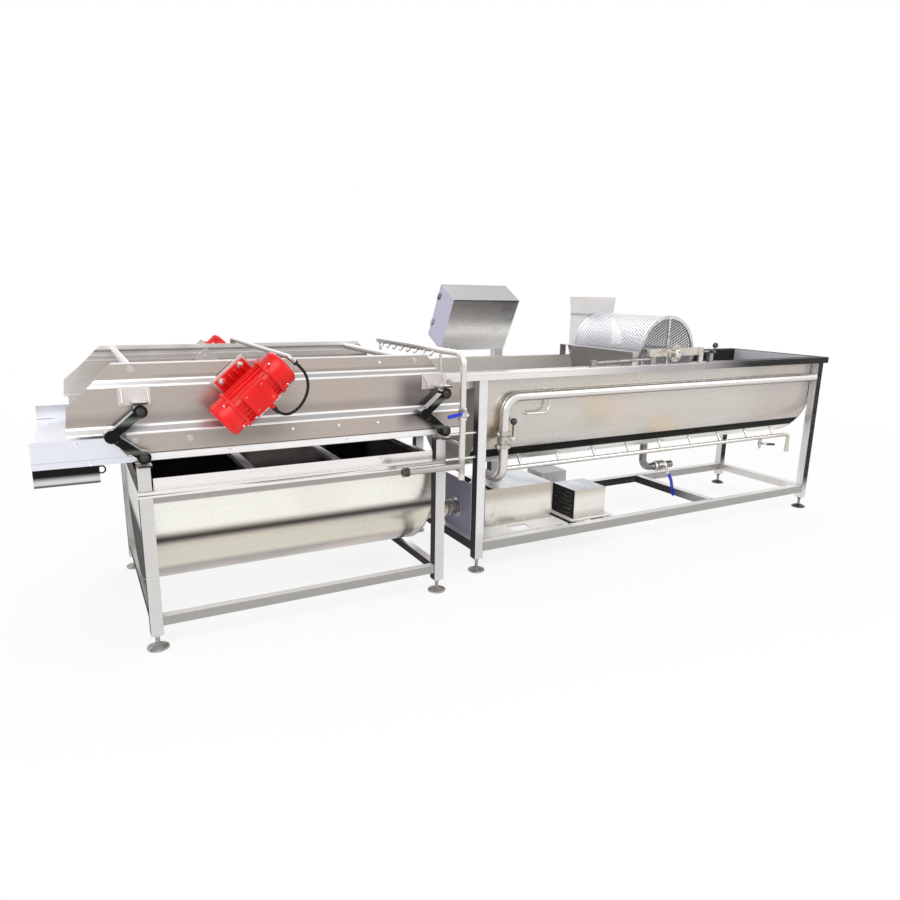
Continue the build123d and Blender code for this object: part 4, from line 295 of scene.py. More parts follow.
def brushed(name, side, top, under, grain="X", rough=0.3, cloud=0.35, shade=None, streaks=0.22):
    """Brushed stainless: grain along one way, upward faces painted lighter as a highlight and downward
    faces painted darker as shade, soft warm and cool clouds, and handling marks. shade may add one
    piece's own colours and painted light, and set where its surface is dull."""
    finish = Finish(name)
    x, y, z = finish.place()
    nx, ny, nz = finish.facing()
    streak = finish.noise(1.0, 3.0, 0.6, GRAIN[grain])
    clouds = finish.noise(1.7, 2.0, 0.4)
    tint = finish.noise(1.1, 1.0, 0.3, (1.3, 1, 0.8))
    marks = finish.noise(9.0, 4.0, 0.6)
    # Painted light: faces that look up take the highlight colour, faces that look down the shade colour.
    colour = finish.mix(finish.step(nz, 0.12, 0.8), side, top)
    colour = finish.mix(finish.step(-nz, 0.25, 0.85), colour, under)
    warm = tuple(min(1, value * gain) for value, gain in zip(side, (1.16, 0.98, 0.84)))
    cool = tuple(value * gain for value, gain in zip(side, (0.86, 0.90, 0.94)))
    upright = 1 - finish.step(abs(nz), 0.3, 0.8)
    colour = finish.mix(finish.step(tint, 0.52, 0.74) * upright * cloud, colour, warm)
    colour = finish.mix(finish.step(clouds, 0.5, 0.72) * upright * cloud, colour, cool)
    if shade:
        colour = shade(finish, colour, x, y, z, nx, ny, nz)
    dark = tuple(value * 0.55 for value in side)
    colour = finish.mix(finish.step(streak, 0.45, 0.8) * streaks, colour, dark)
    finish.put(finish.shader.inputs["Specular IOR Level"], 0.04)
    finish.bump(streak, 0.06, 0.0004)
    dull = finish.math("MINIMUM", finish.dull, 1)
    return finish.done(colour, rough + (streak - 0.5) * 0.16 + finish.step(marks, 0.5, 0.7) * 0.10
                       + dull * 0.3, (1 - dull) * 0.82)


def painted(name, colour, rough, coat, peel=0.05, gloss=0.5, wear=0.0, worn=(0.1, 0.1, 0.1)):
    """Paint with a little orange peel, dusty clouds and, where asked, worn patches."""
    finish = Finish(name)
    peel_noise = finish.noise(420, 2.0)
    dust = finish.noise(6.0, 4.0, 0.6)
    pale = tuple(value + (1 - value) * 0.03 for value in colour)
    deep = tuple(value * 0.72 for value in colour)
    shown = finish.mix(finish.step(dust, 0.45, 0.75), colour, pale)
    shown = finish.mix(finish.step(dust, 0.5, 0.25), shown, deep)
    if wear:
        chips = finish.noise(38, 5.0, 0.7)
        shown = finish.mix(finish.step(chips, 0.66, 0.70) * wear, shown, worn)
    finish.put(finish.shader.inputs["Specular IOR Level"], gloss)
    finish.bump(peel_noise, peel, 0.0004)
    return finish.done(shown, rough + (dust - 0.5) * 0.18, 0.0, coat)


def moulded(name, colour, rough=0.45, grain=300, strength=0.12, coat=0.0, gloss=0.5):
    """Rubber or plastic with a fine moulded grain and scuffs."""
    finish = Finish(name)
    fine = finish.noise(grain, 3.0)
    scuff = finish.noise(14, 4.0, 0.65)
    grey = tuple(value * 0.9 + 0.02 for value in colour)
    shown = finish.mix(finish.step(scuff, 0.5, 0.8) * 0.5, colour, grey)
    finish.put(finish.shader.inputs["Specular IOR Level"], gloss)
    finish.bump(fine, strength, 0.0005)
    return finish.done(shown, rough + (scuff - 0.5) * 0.2, 0.0, coat)


def turned(name, colour, rough=0.25, metallic=0.9):
    """Machined or cast bright metal with fine turning marks."""
    finish = Finish(name)
    fine = finish.noise(180, 4.0, 0.6)
    spots = finish.noise(30, 3.0, 0.6)
    deep = tuple(value * 0.5 for value in colour)
    shown = finish.mix(finish.step(spots, 0.42, 0.75), colour, deep)
    finish.bump(fine, 0.08, 0.0005)
    return finish.done(shown, rough + (spots - 0.5) * 0.24, metallic)


def stand_painted_light(finish, colour, x, y, z, nx, ny, nz):
    """Painted light on the stands: faces that look down the line are painted dark as shade, most of all
    low down; the low rails are painted grey in front as shade and white on top as a highlight; pale blue
    painted reflections streak the left faces at the feed end, a painted highlight lies on the front faces
    of the tank stand's screen end, and the feed end's front leg is painted black as shade all the way
    down."""
    low = 1 - finish.step(z, 0.80, 0.98)
    left = finish.step(-nx, 0.6, 0.9)
    front = finish.step(-ny, 0.6, 0.9)
    upward = finish.step(nz, 0.6, 0.9)
    rail = finish.band(z, 0.095, 0.170, 0.002)
    for leg in LEG_X_TANK + LEG_X_SCREEN:
        rail = rail * finish.step(abs(x - leg), 0.0255, 0.0275)
    # Painted shade on the rails' front faces and a painted highlight on their tops.
    colour = finish.mix(rail * front * 0.9, colour, (0.36, 0.35, 0.33))
    colour = finish.mix(rail * upward * 0.9, colour, (0.93, 0.93, 0.93))
    # Painted shade: faces that look down the line, and parts of the far rails, darkened.
    mask = left * ((1 - finish.step(x, 0.9, 1.9)) * (0.12 + low * 0.84)
                   + rail * finish.step(y, -0.32, 0.25) * 0.9)
    mask = mask + rail * front * finish.step(y, 0.2, 0.3) * finish.band(x, 0.45, 1.45, 0.1) * 0.95
    mask = finish.math("MINIMUM", mask, 0.97)
    colour = finish.mix(mask, colour, (0.012, 0.010, 0.018))
    # Pale blue painted reflections streaked on the left faces at the feed end.
    streaks = finish.noise(1.0, 2.0, 0.5, (6, 40, 3))
    blue = left * finish.step(x, 1.9, 2.3) * finish.step(y, -0.2, -0.3)
    colour = finish.mix(blue * (0.35 + finish.step(streaks, 0.4, 0.65) * 0.5), colour, (0.86, 0.88, 0.94))
    # Painted highlight on the front faces at the tank stand's screen end.
    leg_painted_highlight = front * finish.step(z, 0.18, 0.24) * finish.band(x, -0.42, -0.34, 0.01)
    colour = finish.mix(leg_painted_highlight * 0.6, colour, (0.90, 0.91, 0.95))
    # Painted shade: the feed end's front leg black.
    end = finish.step(x, 2.30, 2.33) * front * finish.step(z, 0.10, 0.24)
    finish.dull = mask + end * 0.97 + rail * upward * 0.6
    return finish.mix(end * 0.97, colour, (0.004, 0.004, 0.004))


def rim_shade(finish, colour, x, y, z, nx, ny, nz):
    """The folded rim, with painted reflections: near white at the screen, through grey to black at the
    feed end, where its top is painted black too.
    """
    front = finish.step(-ny, 0.5, 0.95)
    colour = finish.mix(front * 0.85, colour, (0.90, 0.86, 0.84))
    colour = finish.mix(finish.step(x, 0.0, 0.9) * front * 0.85, colour, (0.36, 0.33, 0.34))
    # Painted dark reflection on the rim's front and top towards the feed end.
    feed = finish.step(x, 1.05, 1.65) * front * 0.96
    colour = finish.mix(feed, colour, (0.006, 0.006, 0.006))
    top = finish.step(nz, 0.5, 0.9) * finish.step(x, 0.95, 1.5)
    finish.dull = feed + top * 0.8
    return finish.mix(top * 0.93, colour, (0.012, 0.012, 0.014))


def trough_shade(finish, colour, x, y, z, nx, ny, nz):
    """Wash trough: peach and green clouds outside, darker in violet grey towards the feed end and darker
    near the top, a black line painted low on the curve as a reflection with a pale painted reflection
    below it; inside pale, then black behind the drum as painted shade, then pale violet at the feed end."""
    out = finish.outward(y, ny)
    wide = finish.noise(2.3, 1.0, 0.2, (0.8, 1, 1.2))
    colour = finish.mix(finish.step(wide, 0.48, 0.66) * 0.55, colour, (0.72, 0.54, 0.36))
    green = finish.noise(1.9, 1.0, 0.2, (1.1, 1, 1.6))
    colour = finish.layers(
        colour,
        (finish.step(green, 0.52, 0.70) * 0.45, (0.42, 0.50, 0.42)),
        (finish.step(x, 1.5, 2.0) * out * 0.4, (0.44, 0.37, 0.37)),
        (out * finish.step(z, 1.00, 1.05) * 0.30, (0.40, 0.38, 0.34)),
        # A pale painted reflection below the black line.
        (out * (1 - finish.step(z, 0.580, 0.592)) * 0.9, (0.82, 0.79, 0.74)))
    # A black line painted low on the curve as a reflection.
    line = out * finish.band(z, 0.588, 0.646, 0.004)
    colour = finish.mix(line, colour, (0.003, 0.003, 0.003))
    inside = 1 - out
    finish.dull = inside * 0.85 + line * 0.97
    colour = finish.mix(inside * 0.9, colour, (0.60, 0.57, 0.54))
    wall = finish.step(-nx, 0.6, 0.9) * finish.step(x, 2.2, 2.3)
    # Painted shade: the inner wall behind the drum black.
    behind = inside * finish.step(x, 0.78, 0.95) * (1 - wall)
    colour = finish.mix(behind * 0.97, colour, (0.006, 0.006, 0.006))
    return finish.mix(wall * finish.step(z, 0.80, 1.0) * 0.95, colour, (0.74, 0.72, 0.80))


def basin_shade(finish, colour, x, y, z, nx, ny, nz):
    """Collection tank: pale folded rim, grey line, cream wall, a dark band painted on the curve as a
    reflection, tan below; black inside as painted shade, with a pale pink pool of painted light on its far
    wall, and the foot of its screen end painted black as shade."""
    out = finish.outward(y, ny)
    colour = finish.layers(
        colour,
        (out * finish.step(z, 0.46, 0.50), (0.93, 0.92, 0.85)),
        (out * finish.band(z, 0.29, 0.41, 0.02) * 0.9, (0.74, 0.71, 0.60)),
        (out * (1 - finish.step(z, 0.26, 0.29)), (0.40, 0.36, 0.33)))
    tint = finish.noise(1.8, 1.0, 0.2, (1.2, 1, 1))
    colour = finish.mix(out * finish.step(tint, 0.50, 0.66) * 0.4, colour, (0.80, 0.68, 0.62))
    # A dark band painted on the curve as a reflection.
    painted_dark_band = out * finish.band(z, 0.426, 0.466, 0.020)
    colour = finish.layers(
        colour,
        (painted_dark_band * 0.93, (0.016, 0.010, 0.009)),
        (out * finish.band(z, 0.616, 0.648, 0.003) * 0.85, (0.33, 0.30, 0.29)),
        (out * finish.step(z, 0.657, 0.660), (0.88, 0.84, 0.83)))
    hatch = finish.step(finish.noise(1.0, 1.0, 0.3, (1.5, 1, 150)), 0.46, 0.54)
    mesh = out * finish.band(z, 0.668, 0.680, 0.002) * hatch
    colour = finish.mix(mesh * 0.85, colour, (0.12, 0.10, 0.10))
    colour = finish.mix(finish.band(z, 0.650, 0.656, 0.001) * 0.9, colour, (0.05, 0.04, 0.04))
    end = finish.step(-nx, 0.6, 0.9) * (1 - finish.step(x, -1.95, -1.90))
    # Painted shade: the foot of the screen end's face black.
    foot = end * (1 - finish.step(z, 0.40, 0.46))
    # Painted shade: the inside black.
    below = (1 - out) * (1 - end) * (1 - finish.step(z, 0.655, 0.672))
    finish.dull = below * 0.97 + foot * 0.9 + painted_dark_band * 0.9
    colour = finish.layers(
        colour,
        (end * 0.9, (0.60, 0.60, 0.57)),
        (foot * 0.97, (0.006, 0.006, 0.006)),
        (below * 0.98, (0.006, 0.002, 0.003)))
    far = finish.step(y, 0.1, 0.3) * finish.step(z, 0.45, 0.56)
    # A pale pink pool of painted light on the far inner wall.
    far_wall_painted_light = below * finish.band(x, -1.42, -0.98, 0.06) * far
    return finish.mix(far_wall_painted_light * 0.85, colour, (0.82, 0.70, 0.70))


def cover_shade(finish, colour, x, y, z, nx, ny, nz):
    """Pump and blower covers: painted light on a face, tan at the top, bright across the middle and darker
    at the foot; black ends as painted shade; a blue-grey painted sheen on the tops.
    """
    front = finish.step(-ny, 0.6, 0.9)
    # Painted light on the front faces: bright, with a tan top and a darker foot.
    colour = finish.layers(
        colour,
        (front, (0.82, 0.79, 0.74)),
        (front * finish.step(z, 0.285, 0.36) * 0.9, (0.50, 0.45, 0.38)),
        (front * (1 - finish.step(z, 0.175, 0.235)) * 0.8, (0.44, 0.40, 0.37)))
    # Painted shade: the ends black.
    finish.dull = finish.step(-nx, 0.6, 0.9) * 0.97
    colour = finish.mix(finish.dull, colour, (0.004, 0.004, 0.004))
    # A blue-grey painted sheen mottled over the tops.
    sheen = finish.noise(2.0, 1.0, stretch=(3, 1, 1))
    return finish.mix(finish.step(nz, 0.7, 0.9) * finish.step(sheen, 0.42, 0.6) * 0.5, colour,
                      (0.42, 0.46, 0.52))


def plate_shade(finish, colour, x, y, z, nx, ny, nz):
    """Side plates: painted highlights along every fold and the top edge, painted reflections on the slopes
    between, a pale foot painted as a highlight with a dark line over it, painted shade in bands and of the
    motor and mounts, and a painted reflection of the red motor; the inner faces are paler, with painted
    highlights along their folds."""
    out = finish.outward(y, ny)
    inner = 1 - out
    colour = finish.mix(inner * 0.8, colour, (0.74, 0.72, 0.70))
    # Painted shade in bands low on the flat faces.
    under = (finish.band(z, 0.950, 0.990, 0.020) + finish.band(z, 1.126, 1.138, 0.005)
             * finish.step(x, -2.0, -1.85)) * out
    colour = finish.mix(under * 0.42, colour, (0.24, 0.21, 0.20))
    # Painted shade of the motor.
    near = finish.step(abs(x - MOTOR.x), 0.30, 0.05) * finish.band(z, 0.84, 1.02, 0.05)
    colour = finish.mix(near * 0.55, colour, (0.16, 0.12, 0.11))
    # A painted reflection of the red motor.
    motor_reflection = finish.band(x, -1.72, -1.66, 0.05) * finish.band(z, 0.96, 1.08, 0.04)
    colour = finish.mix(motor_reflection * 0.5, colour, (0.88, 0.34, 0.30))
    # Painted shade by the mounts.
    ends = finish.step(x, -1.0, -0.62) * finish.band(z, 0.84, 1.10, 0.06)
    colour = finish.mix(ends * 0.35, colour, (0.30, 0.24, 0.21))
    mount = finish.band(x, -0.88, -0.72, 0.05) * finish.band(z, 0.86, 1.08, 0.05) * out
    colour = finish.mix(mount * 0.75, colour, (0.10, 0.085, 0.09))
    # Painted reflections on the slopes between the folds.
    slope_reflections = (finish.band(z, 1.103, 1.117, 0.003) + finish.band(z, 0.921, 0.939, 0.003)) * out
    colour = finish.mix(slope_reflections * 0.95, colour, (0.42, 0.41, 0.41))
    # Painted highlights along the folds, the top edge and the foot.
    painted_highlights = (finish.band(z, 1.118, 1.125, 0.0015) + finish.band(z, 1.094, 1.102, 0.0015)
             + finish.band(z, 0.940, 0.949, 0.0015) + finish.band(z, 0.911, 0.919, 0.0015)
             + finish.band(z, 0.802, 0.829, 0.0015) + finish.step(z, 1.183, 1.185)) * out
    colour = finish.mix(painted_highlights * 0.95, colour, (0.97, 0.96, 0.95))
    colour = finish.mix(out * finish.band(z, 0.8305, 0.8345, 0.0008) * 0.8, colour, (0.07, 0.06, 0.06))
    # Painted highlights along the inner folds.
    inner_fold_highlights = (finish.step(z, 1.172, 1.174) + finish.band(z, 1.141, 1.148, 0.0015)
             + finish.band(z, 1.117, 1.123, 0.0015) + finish.band(z, 0.950, 0.957, 0.0015)
             + finish.band(z, 0.928, 0.934, 0.0015)) * inner
    colour = finish.mix(inner_fold_highlights * 0.9, colour, (0.95, 0.94, 0.93))
    return finish.mix(inner * finish.band(z, 1.160, 1.168, 0.002) * 0.7, colour, (0.16, 0.14, 0.14))


def bracket_shade(finish, colour, x, y, z, nx, ny, nz):
    """Rocking mounts: black washers and bolt heads at the arms' ends."""
    finish.dull = finish.step(abs(y), 0.518, 0.524) * finish.step(abs(ny), 0.6, 0.9) * 0.95
    return finish.mix(finish.dull, colour, (0.008, 0.008, 0.008))


def base_shade(finish, colour, x, y, z, nx, ny, nz):
    """Pump plates: the upright panel in specked lavender, the flat plates white."""
    panel = 1 - finish.step(x, TANK_X0 + 0.056, TANK_X0 + 0.058)
    specks = finish.noise(130, 2.0, 0.5)
    flat = finish.step(nz, 0.6, 0.9) * (1 - panel)
    finish.dull = panel * 0.9 + flat * 0.7
    return finish.layers(
        colour,
        (flat, (0.97, 0.97, 0.96)),
        (panel, (0.40, 0.38, 0.50)),
        (panel * finish.step(specks, 0.66, 0.70), (0.14, 0.13, 0.20)))


def pipe_shade(finish, colour, x, y, z, nx, ny, nz):
    """Polished pipe: the spray header and the branch are in shade."""
    header = finish.band(x, -0.67, -0.58, 0.005) * finish.step(z, 1.15, 1.17)
    header = header * finish.step(y, -0.40, -0.10)
    branch = finish.band(x, -0.95, -0.60, 0.005) * finish.band(z, 0.63, 0.70, 0.01)
    colour = finish.mix(header * 0.8, colour, (0.24, 0.23, 0.24))
    return finish.mix(branch * 0.6, colour, (0.32, 0.27, 0.24))


def cabinet_shade(finish, colour, x, y, z, nx, ny, nz):
    """Cabinet: painted shading on the face to the front, grey at the top under a dark line, white across
    the middle and pale grey below; the ends are lavender."""
    back = finish.step(-ny, 0.3, 0.7)
    # Painted shading down the face to the front.
    return finish.layers(
        colour,
        (back, (0.86, 0.86, 0.86)),
        (back * finish.step(z, 1.27, 1.43), (0.47, 0.46, 0.46)),
        (back * (1 - finish.step(z, 1.12, 1.22)) * 0.35, (0.50, 0.50, 0.51)),
        (back * finish.step(z, 1.421, 1.424) * 0.7, (0.06, 0.06, 0.06)),
        (finish.step(abs(nx), 0.6, 0.9) * 0.9, (0.52, 0.50, 0.64)))


def drive_shade(finish, colour, z):
    """Drive column: a darker line painted under the flare as shade, and a pink tint inside its pale top.
    """
    # Painted shade: a darker line under the flare.
    colour = finish.mix(finish.band(z, 1.335, 1.352, 0.006) * 0.75, colour, (0.34, 0.34, 0.35))
    return finish.mix(finish.step(z, 1.40, 1.45) * 0.35, colour, (0.85, 0.72, 0.68))


def drive_paint(name, colour):
    """Pale paint with the column's painted shading: its front faces painted grey as shade."""
    finish = Finish(name)
    z = finish.place()[2]
    ny = finish.facing()[1]
    dust = finish.noise(5.0, 3.0, 0.6)
    # Painted shade: the front faces greyer.
    shown = finish.mix(finish.step(-ny, 0.5, 0.9) * 0.5, colour, (0.50, 0.51, 0.53))
    shown = drive_shade(finish, shown, z)
    shown = finish.mix(finish.step(dust, 0.45, 0.7) * 0.25, shown, tuple(value * 0.8 for value in colour))
    finish.bump(finish.noise(380, 2.0), 0.04, 0.0004)
    return finish.done(shown, 0.36 + (dust - 0.5) * 0.15, 0.1, 0.2)


def arm_rubber(name):
    """Black arms: deep black flanks with a painted grey-green sheen mid-way, and faces that look up
    painted pale as highlights.
    """
    finish = Finish(name)
    z = finish.place()[2]
    ny, nz = finish.facing()[1:]
    fine = finish.noise(220, 3.0)
    scuff = finish.noise(20, 4.0, 0.6)
    flank = finish.step(abs(ny), 0.7, 0.95)
    # A painted sheen mid-way along the flanks.
    sheen = flank * (finish.band(z, 0.962, 0.985, 0.012) + finish.band(z, 0.845, 0.858, 0.010))
    shown = finish.mix(sheen * 0.55, (0.003, 0.003, 0.003), (0.22, 0.24, 0.21))
    # Painted highlights on faces that look up.
    shown = finish.mix(finish.step(nz, 0.35, 0.70) * (0.75 + scuff * 0.3), shown, (0.80, 0.80, 0.80))
    finish.put(finish.shader.inputs["Specular IOR Level"], 0.15)
    finish.bump(fine, 0.10, 0.0005)
    return finish.done(shown, 0.42 + (scuff - 0.5) * 0.2, finish.step(nz, 0.35, 0.70) * 0.5)


def dipped(name, pivot, bare, blue):
    """A steel lever whose outer part is dipped in blue vinyl."""
    finish = Finish(name)
    offset = finish.node("ShaderNodeVectorMath", {"operation": "SUBTRACT"},
                         {0: finish.where.outputs["Object"], 1: pivot})
    reach = finish.node("ShaderNodeVectorMath", {"operation": "LENGTH"}, {0: offset.outputs[0]})
    sleeve = finish.step(Number(finish, reach.outputs["Value"]), bare, bare + 0.002)
    scuff = finish.noise(40, 4.0, 0.6)
    rubbed = tuple(value * 0.6 + 0.06 for value in blue)
    vinyl = finish.mix(finish.step(scuff, 0.5, 0.75) * 0.4, blue, rubbed)
    finish.bump(finish.noise(260, 2.0), 0.10, 0.0004)
    return finish.done(finish.mix(sleeve, (0.62, 0.60, 0.58), vinyl), 0.30 + scuff * 0.15,
                       (1 - sleeve) * 0.9)


def foot_metal(name):
    """Levelling feet: bright mottled pads and studs, painted darker as shade at the feed end."""
    finish = Finish(name)
    x, _, z = finish.place()
    spots = finish.noise(40, 3.0, 0.6)
    shown = finish.mix(finish.step(z, 0.020, 0.023), (0.46, 0.44, 0.42), (0.60, 0.58, 0.56))
    shown = finish.mix(finish.step(spots, 0.45, 0.70) * 0.6, shown, (0.06, 0.055, 0.05))
    # Painted shade: the feet at the feed end darker.
    shown = finish.mix(finish.step(x, 0.2, 1.8) * 0.85, shown, (0.03, 0.03, 0.03))
    finish.bump(spots, 0.10, 0.0008)
    return finish.done(shown, 0.38 + (spots - 0.5) * 0.2, 0.75)


def lip_rubber(name):
    """Dark lip with painted reflections on its flanks: black above, brightening downward to a dark lower
    edge.
    """
    finish = Finish(name)
    z = finish.place()[2]
    flank = finish.step(abs(finish.facing()[1]), 0.6, 0.9)
    # Painted reflections: black above, brightening downward, then a dark lower edge.
    shown = finish.mix(flank * finish.step(z, 0.774, 0.750), (0.004, 0.004, 0.004), (0.62, 0.60, 0.59))
    shown = finish.mix(flank * finish.step(z, 0.744, 0.737), shown, (0.10, 0.10, 0.10))
    finish.put(finish.shader.inputs["Specular IOR Level"], 0.2)
    finish.bump(finish.noise(200, 3.0), 0.06, 0.0004)
    return finish.done(shown, 0.40, 0.3)


def chute_shade(finish, colour, x, y, z, nx, ny, nz):
    """Chute: a paler fold along its foot with a thin dark line, and a grey inner wall."""
    out = finish.outward(y, ny)
    colour = finish.mix(out * finish.band(z, 0.8225, 0.8255, 0.0008) * 0.45, colour, (0.36, 0.38, 0.44))
    wall = (1 - out) * finish.step(abs(ny), 0.6, 0.9)
    colour = finish.mix(wall * finish.step(z, 0.84, 0.90) * 0.6, colour, (0.42, 0.42, 0.43))
    return finish.mix(wall * finish.band(z, 0.838, 0.842, 0.001) * 0.8, colour, (0.08, 0.08, 0.09))


FINISHES = {}


def finish_for(name):
    """A finish by its name, made the first time that it is asked for."""
    if name in FINISHES:
        return FINISHES[name]
    chosen = colours()
    side, top, under = tuple(chosen.steel_side), tuple(chosen.steel_highlight), tuple(chosen.steel_shade)
    tube, pipe, blue = tuple(chosen.tube), tuple(chosen.pipe), tuple(chosen.handle_blue)
    # For brushed finishes the first colour is the sheet's own, the second a painted highlight on faces
    # that look up, the third painted shade on faces that look down.
    makers = {
        "stand": (brushed, tube, (0.84, 0.82, 0.80), (0.30, 0.29, 0.29), "X", 0.30, 0.25, stand_painted_light),
        "trough": (brushed, (0.62, 0.585, 0.545), top, (0.62, 0.60, 0.58), "X", 0.27, 0.4, trough_shade,
                   0.15),
        "rim": (brushed, side, top, under, "X", 0.26, 0.3, rim_shade),
        "basin": (brushed, (0.70, 0.66, 0.60), top, (0.40, 0.37, 0.34), "X", 0.24, 0.3, basin_shade, 0.12),
        "outfall": (brushed, (0.66, 0.62, 0.57), top, under, "X", 0.30, 0.4),
        "cover": (brushed, (0.55, 0.51, 0.47), (0.80, 0.82, 0.84), under, "X", 0.22, 0.3, cover_shade),
        "base": (brushed, (0.62, 0.60, 0.57), (0.90, 0.89, 0.87), under, "X", 0.30, 0.2, base_shade),
        "plate": (brushed, (0.49, 0.44, 0.405), (0.92, 0.90, 0.87), under, "X", 0.29, 0.5, plate_shade),
        "bracket": (brushed, (0.72, 0.68, 0.66), top, (0.30, 0.27, 0.25), "X", 0.34, 0.5, bracket_shade),
        "member": (brushed, (0.58, 0.56, 0.55), (0.82, 0.80, 0.80), (0.32, 0.31, 0.31), "Y", 0.30, 0.3),
        "deck": (brushed, (0.30, 0.27, 0.25), (0.52, 0.48, 0.46), (0.10, 0.08, 0.08), "X", 0.36, 0.5),
        "chute": (brushed, (0.80, 0.81, 0.88), (0.92, 0.93, 0.97), (0.30, 0.30, 0.34), "X", 0.30, 0.15,
                  chute_shade, 0.12),
        "cabinet": (brushed, (0.62, 0.62, 0.64), (0.88, 0.88, 0.90), (0.40, 0.40, 0.42), "X", 0.28, 0.05,
                    cabinet_shade, 0.05),
        "drum": (brushed, (0.62, 0.62, 0.65), (0.90, 0.90, 0.93), (0.34, 0.34, 0.36), "Y", 0.32, 0.2),
        "tray": (brushed, (0.52, 0.51, 0.50), (0.78, 0.79, 0.86), under, "Y", 0.32, 0.5),
        "pipe": (brushed, pipe, (0.96, 0.94, 0.90), (0.26, 0.22, 0.20), "X", 0.20, 0.35, pipe_shade),
        "conduit": (brushed, (0.42, 0.41, 0.42), (0.74, 0.73, 0.73), (0.20, 0.19, 0.19), "Y", 0.28, 0.3),
        "manifold": (brushed, (0.66, 0.64, 0.60), (0.93, 0.91, 0.88), (0.22, 0.20, 0.19), "X", 0.22, 0.3),
        "spokes": (turned, (0.66, 0.64, 0.62), 0.30),
        "cast": (turned, (0.56, 0.53, 0.50), 0.32),
        "drain": (turned, (0.24, 0.235, 0.23), 0.16),
        "bright": (turned, (0.80, 0.78, 0.76), 0.22),
        "weld": (turned, (0.50, 0.48, 0.46), 0.36),
        "thread": (turned, (0.10, 0.085, 0.075), 0.42, 0.7),
        "stud": (turned, (0.36, 0.34, 0.33), 0.30),
        "cream": (turned, (0.60, 0.56, 0.50), 0.30, 0.8),
        "hose": (turned, (0.72, 0.66, 0.60), 0.24, 0.8),
        "iron": (turned, (0.12, 0.12, 0.13), 0.5, 0.7),
        "feet": (foot_metal,),
        "arms": (arm_rubber,),
        "lip": (lip_rubber,),
        "drive": (drive_paint, tuple(chosen.drive_paint)),
        "red": (painted, tuple(chosen.motor_red), 0.36, 0.12, 0.06, 0.30),
        "lavender": (painted, tuple(chosen.panel_lavender), 0.42, 0.2, 0.05, 0.5, 0.6),
        "motor_blue": (painted, (0.045, 0.075, 0.15), 0.4, 0.3),
        "pump_grey": (painted, (0.62, 0.61, 0.62), 0.45, 0.1),
        "cable": (moulded, (0.006, 0.006, 0.006), 0.42, 240, 0.15, 0.0, 0.2),
        "knob": (moulded, (0.010, 0.010, 0.010), 0.16, 300, 0.02, 0.5),
        "black": (moulded, (0.012, 0.012, 0.013), 0.5, 300, 0.12, 0.0, 0.2),
        "gear": (moulded, (0.42, 0.43, 0.45), 0.5),
        "stop": (moulded, (0.70, 0.01, 0.01), 0.25, 300, 0.03, 0.4),
        "start": (moulded, (0.015, 0.40, 0.06), 0.25, 300, 0.03, 0.4),
        "drain_lever": (dipped, (DRAIN_X, -0.06, DRAIN_Z), 0.062, blue),
        "sample_lever": (dipped, (SAMPLE_X, -0.269, SAMPLE_Z), 0.036, (0.008, 0.010, 0.06)),
        "spray_lever": (dipped, (SPRAY_X, -0.645, SPRAY_VALVE_Z), 0.026, blue),
    }
    maker, *values = makers[name]
    FINISHES[name] = maker(name, *values)
    return FINISHES[name]


NODE_FINISHES = {
    "stand": "tank_frame cabinet_post screen_frame",
    "trough": "wash_trough",
    "rim": "trough_rim",
    "basin": "collection_tank",
    "outfall": "outfall_channel",
    "cover": "pump_cover blower_cover",
    "base": "pump_plates",
    "plate": "side_plates",
    "bracket": "upper_brackets base_brackets motor_mounts",
    "member": "cross_members",
    "deck": "screen_deck",
    "chute": "discharge_chute",
    "cabinet": "cabinet_body cabinet_door",
    "drum": "drum_shell",
    "spokes": "drum_spider",
    "tray": "drum_tray",
    "pipe": "delivery_pipe level_tube spray_pipework",
    "conduit": "conduit_bar",
    "manifold": "air_manifold",
    "cast": "pipe_clamps butterfly_body ball_valve_bodies pump_volute pump_impeller",
    "drain": "drain_pipe",
    "bright": "butterfly_lever",
    "cream": "drum_bridge",
    "stud": "rim_clamps",
    "feet": "levelling_feet",
    "red": "motor_housings terminal_boxes",
    "drive": "drive_housing",
    "motor_blue": "pump_motor drum_gearmotor",
    "pump_grey": "auxiliary_pumps",
    "iron": "front_rotor back_rotor",
    "arms": "left_lower_arms left_upper_arms right_lower_arms right_upper_arms",
    "lip": "chute_lip",
    "knob": "butterfly_ball clamp_lever",
    "hose": "suction_hose",
    "gear": "control_gear",
    "stop": "stop_button",
    "start": "start_button",
    "cable": "motor_cable",
    "drain_lever": "drain_handle",
    "sample_lever": "sample_handle",
    "spray_lever": "spray_handle",
}


def shift(bm, geometry, vec):
    """Moves the vertices among some new geometry."""
    bmesh.ops.translate(bm, verts=[item for item in geometry if isinstance(item, bmesh.types.BMVert)],
                        vec=vec)


def toward(direction):
    """The turn that takes +Z to a direction."""
    return Z_AXIS.rotation_difference(Vector(direction)).to_matrix().to_4x4()


def rod(bm, start, end, radius, segments=20):
    """A round bar between two points."""
    start, end = Vector(start), Vector(end)
    run = end - start
    place = Matrix.Translation((start + end) / 2) @ toward(run)
    return bmesh.ops.create_cone(bm, cap_ends=True, segments=segments, radius1=radius, radius2=radius,
                                 depth=run.length, matrix=place)["verts"]


def ease(bm, verts, width, segments=2):
    """Bevels the sharp edges of some new vertices."""
    edges = {edge for vert in verts for edge in vert.link_edges
             if edge.is_manifold and edge.calc_face_angle(0) > 0.6}
    bmesh.ops.bevel(bm, geom=list(edges), offset=width, offset_type="OFFSET", segments=segments,
                    profile=0.5, affect="EDGES", material=-1, clamp_overlap=True)


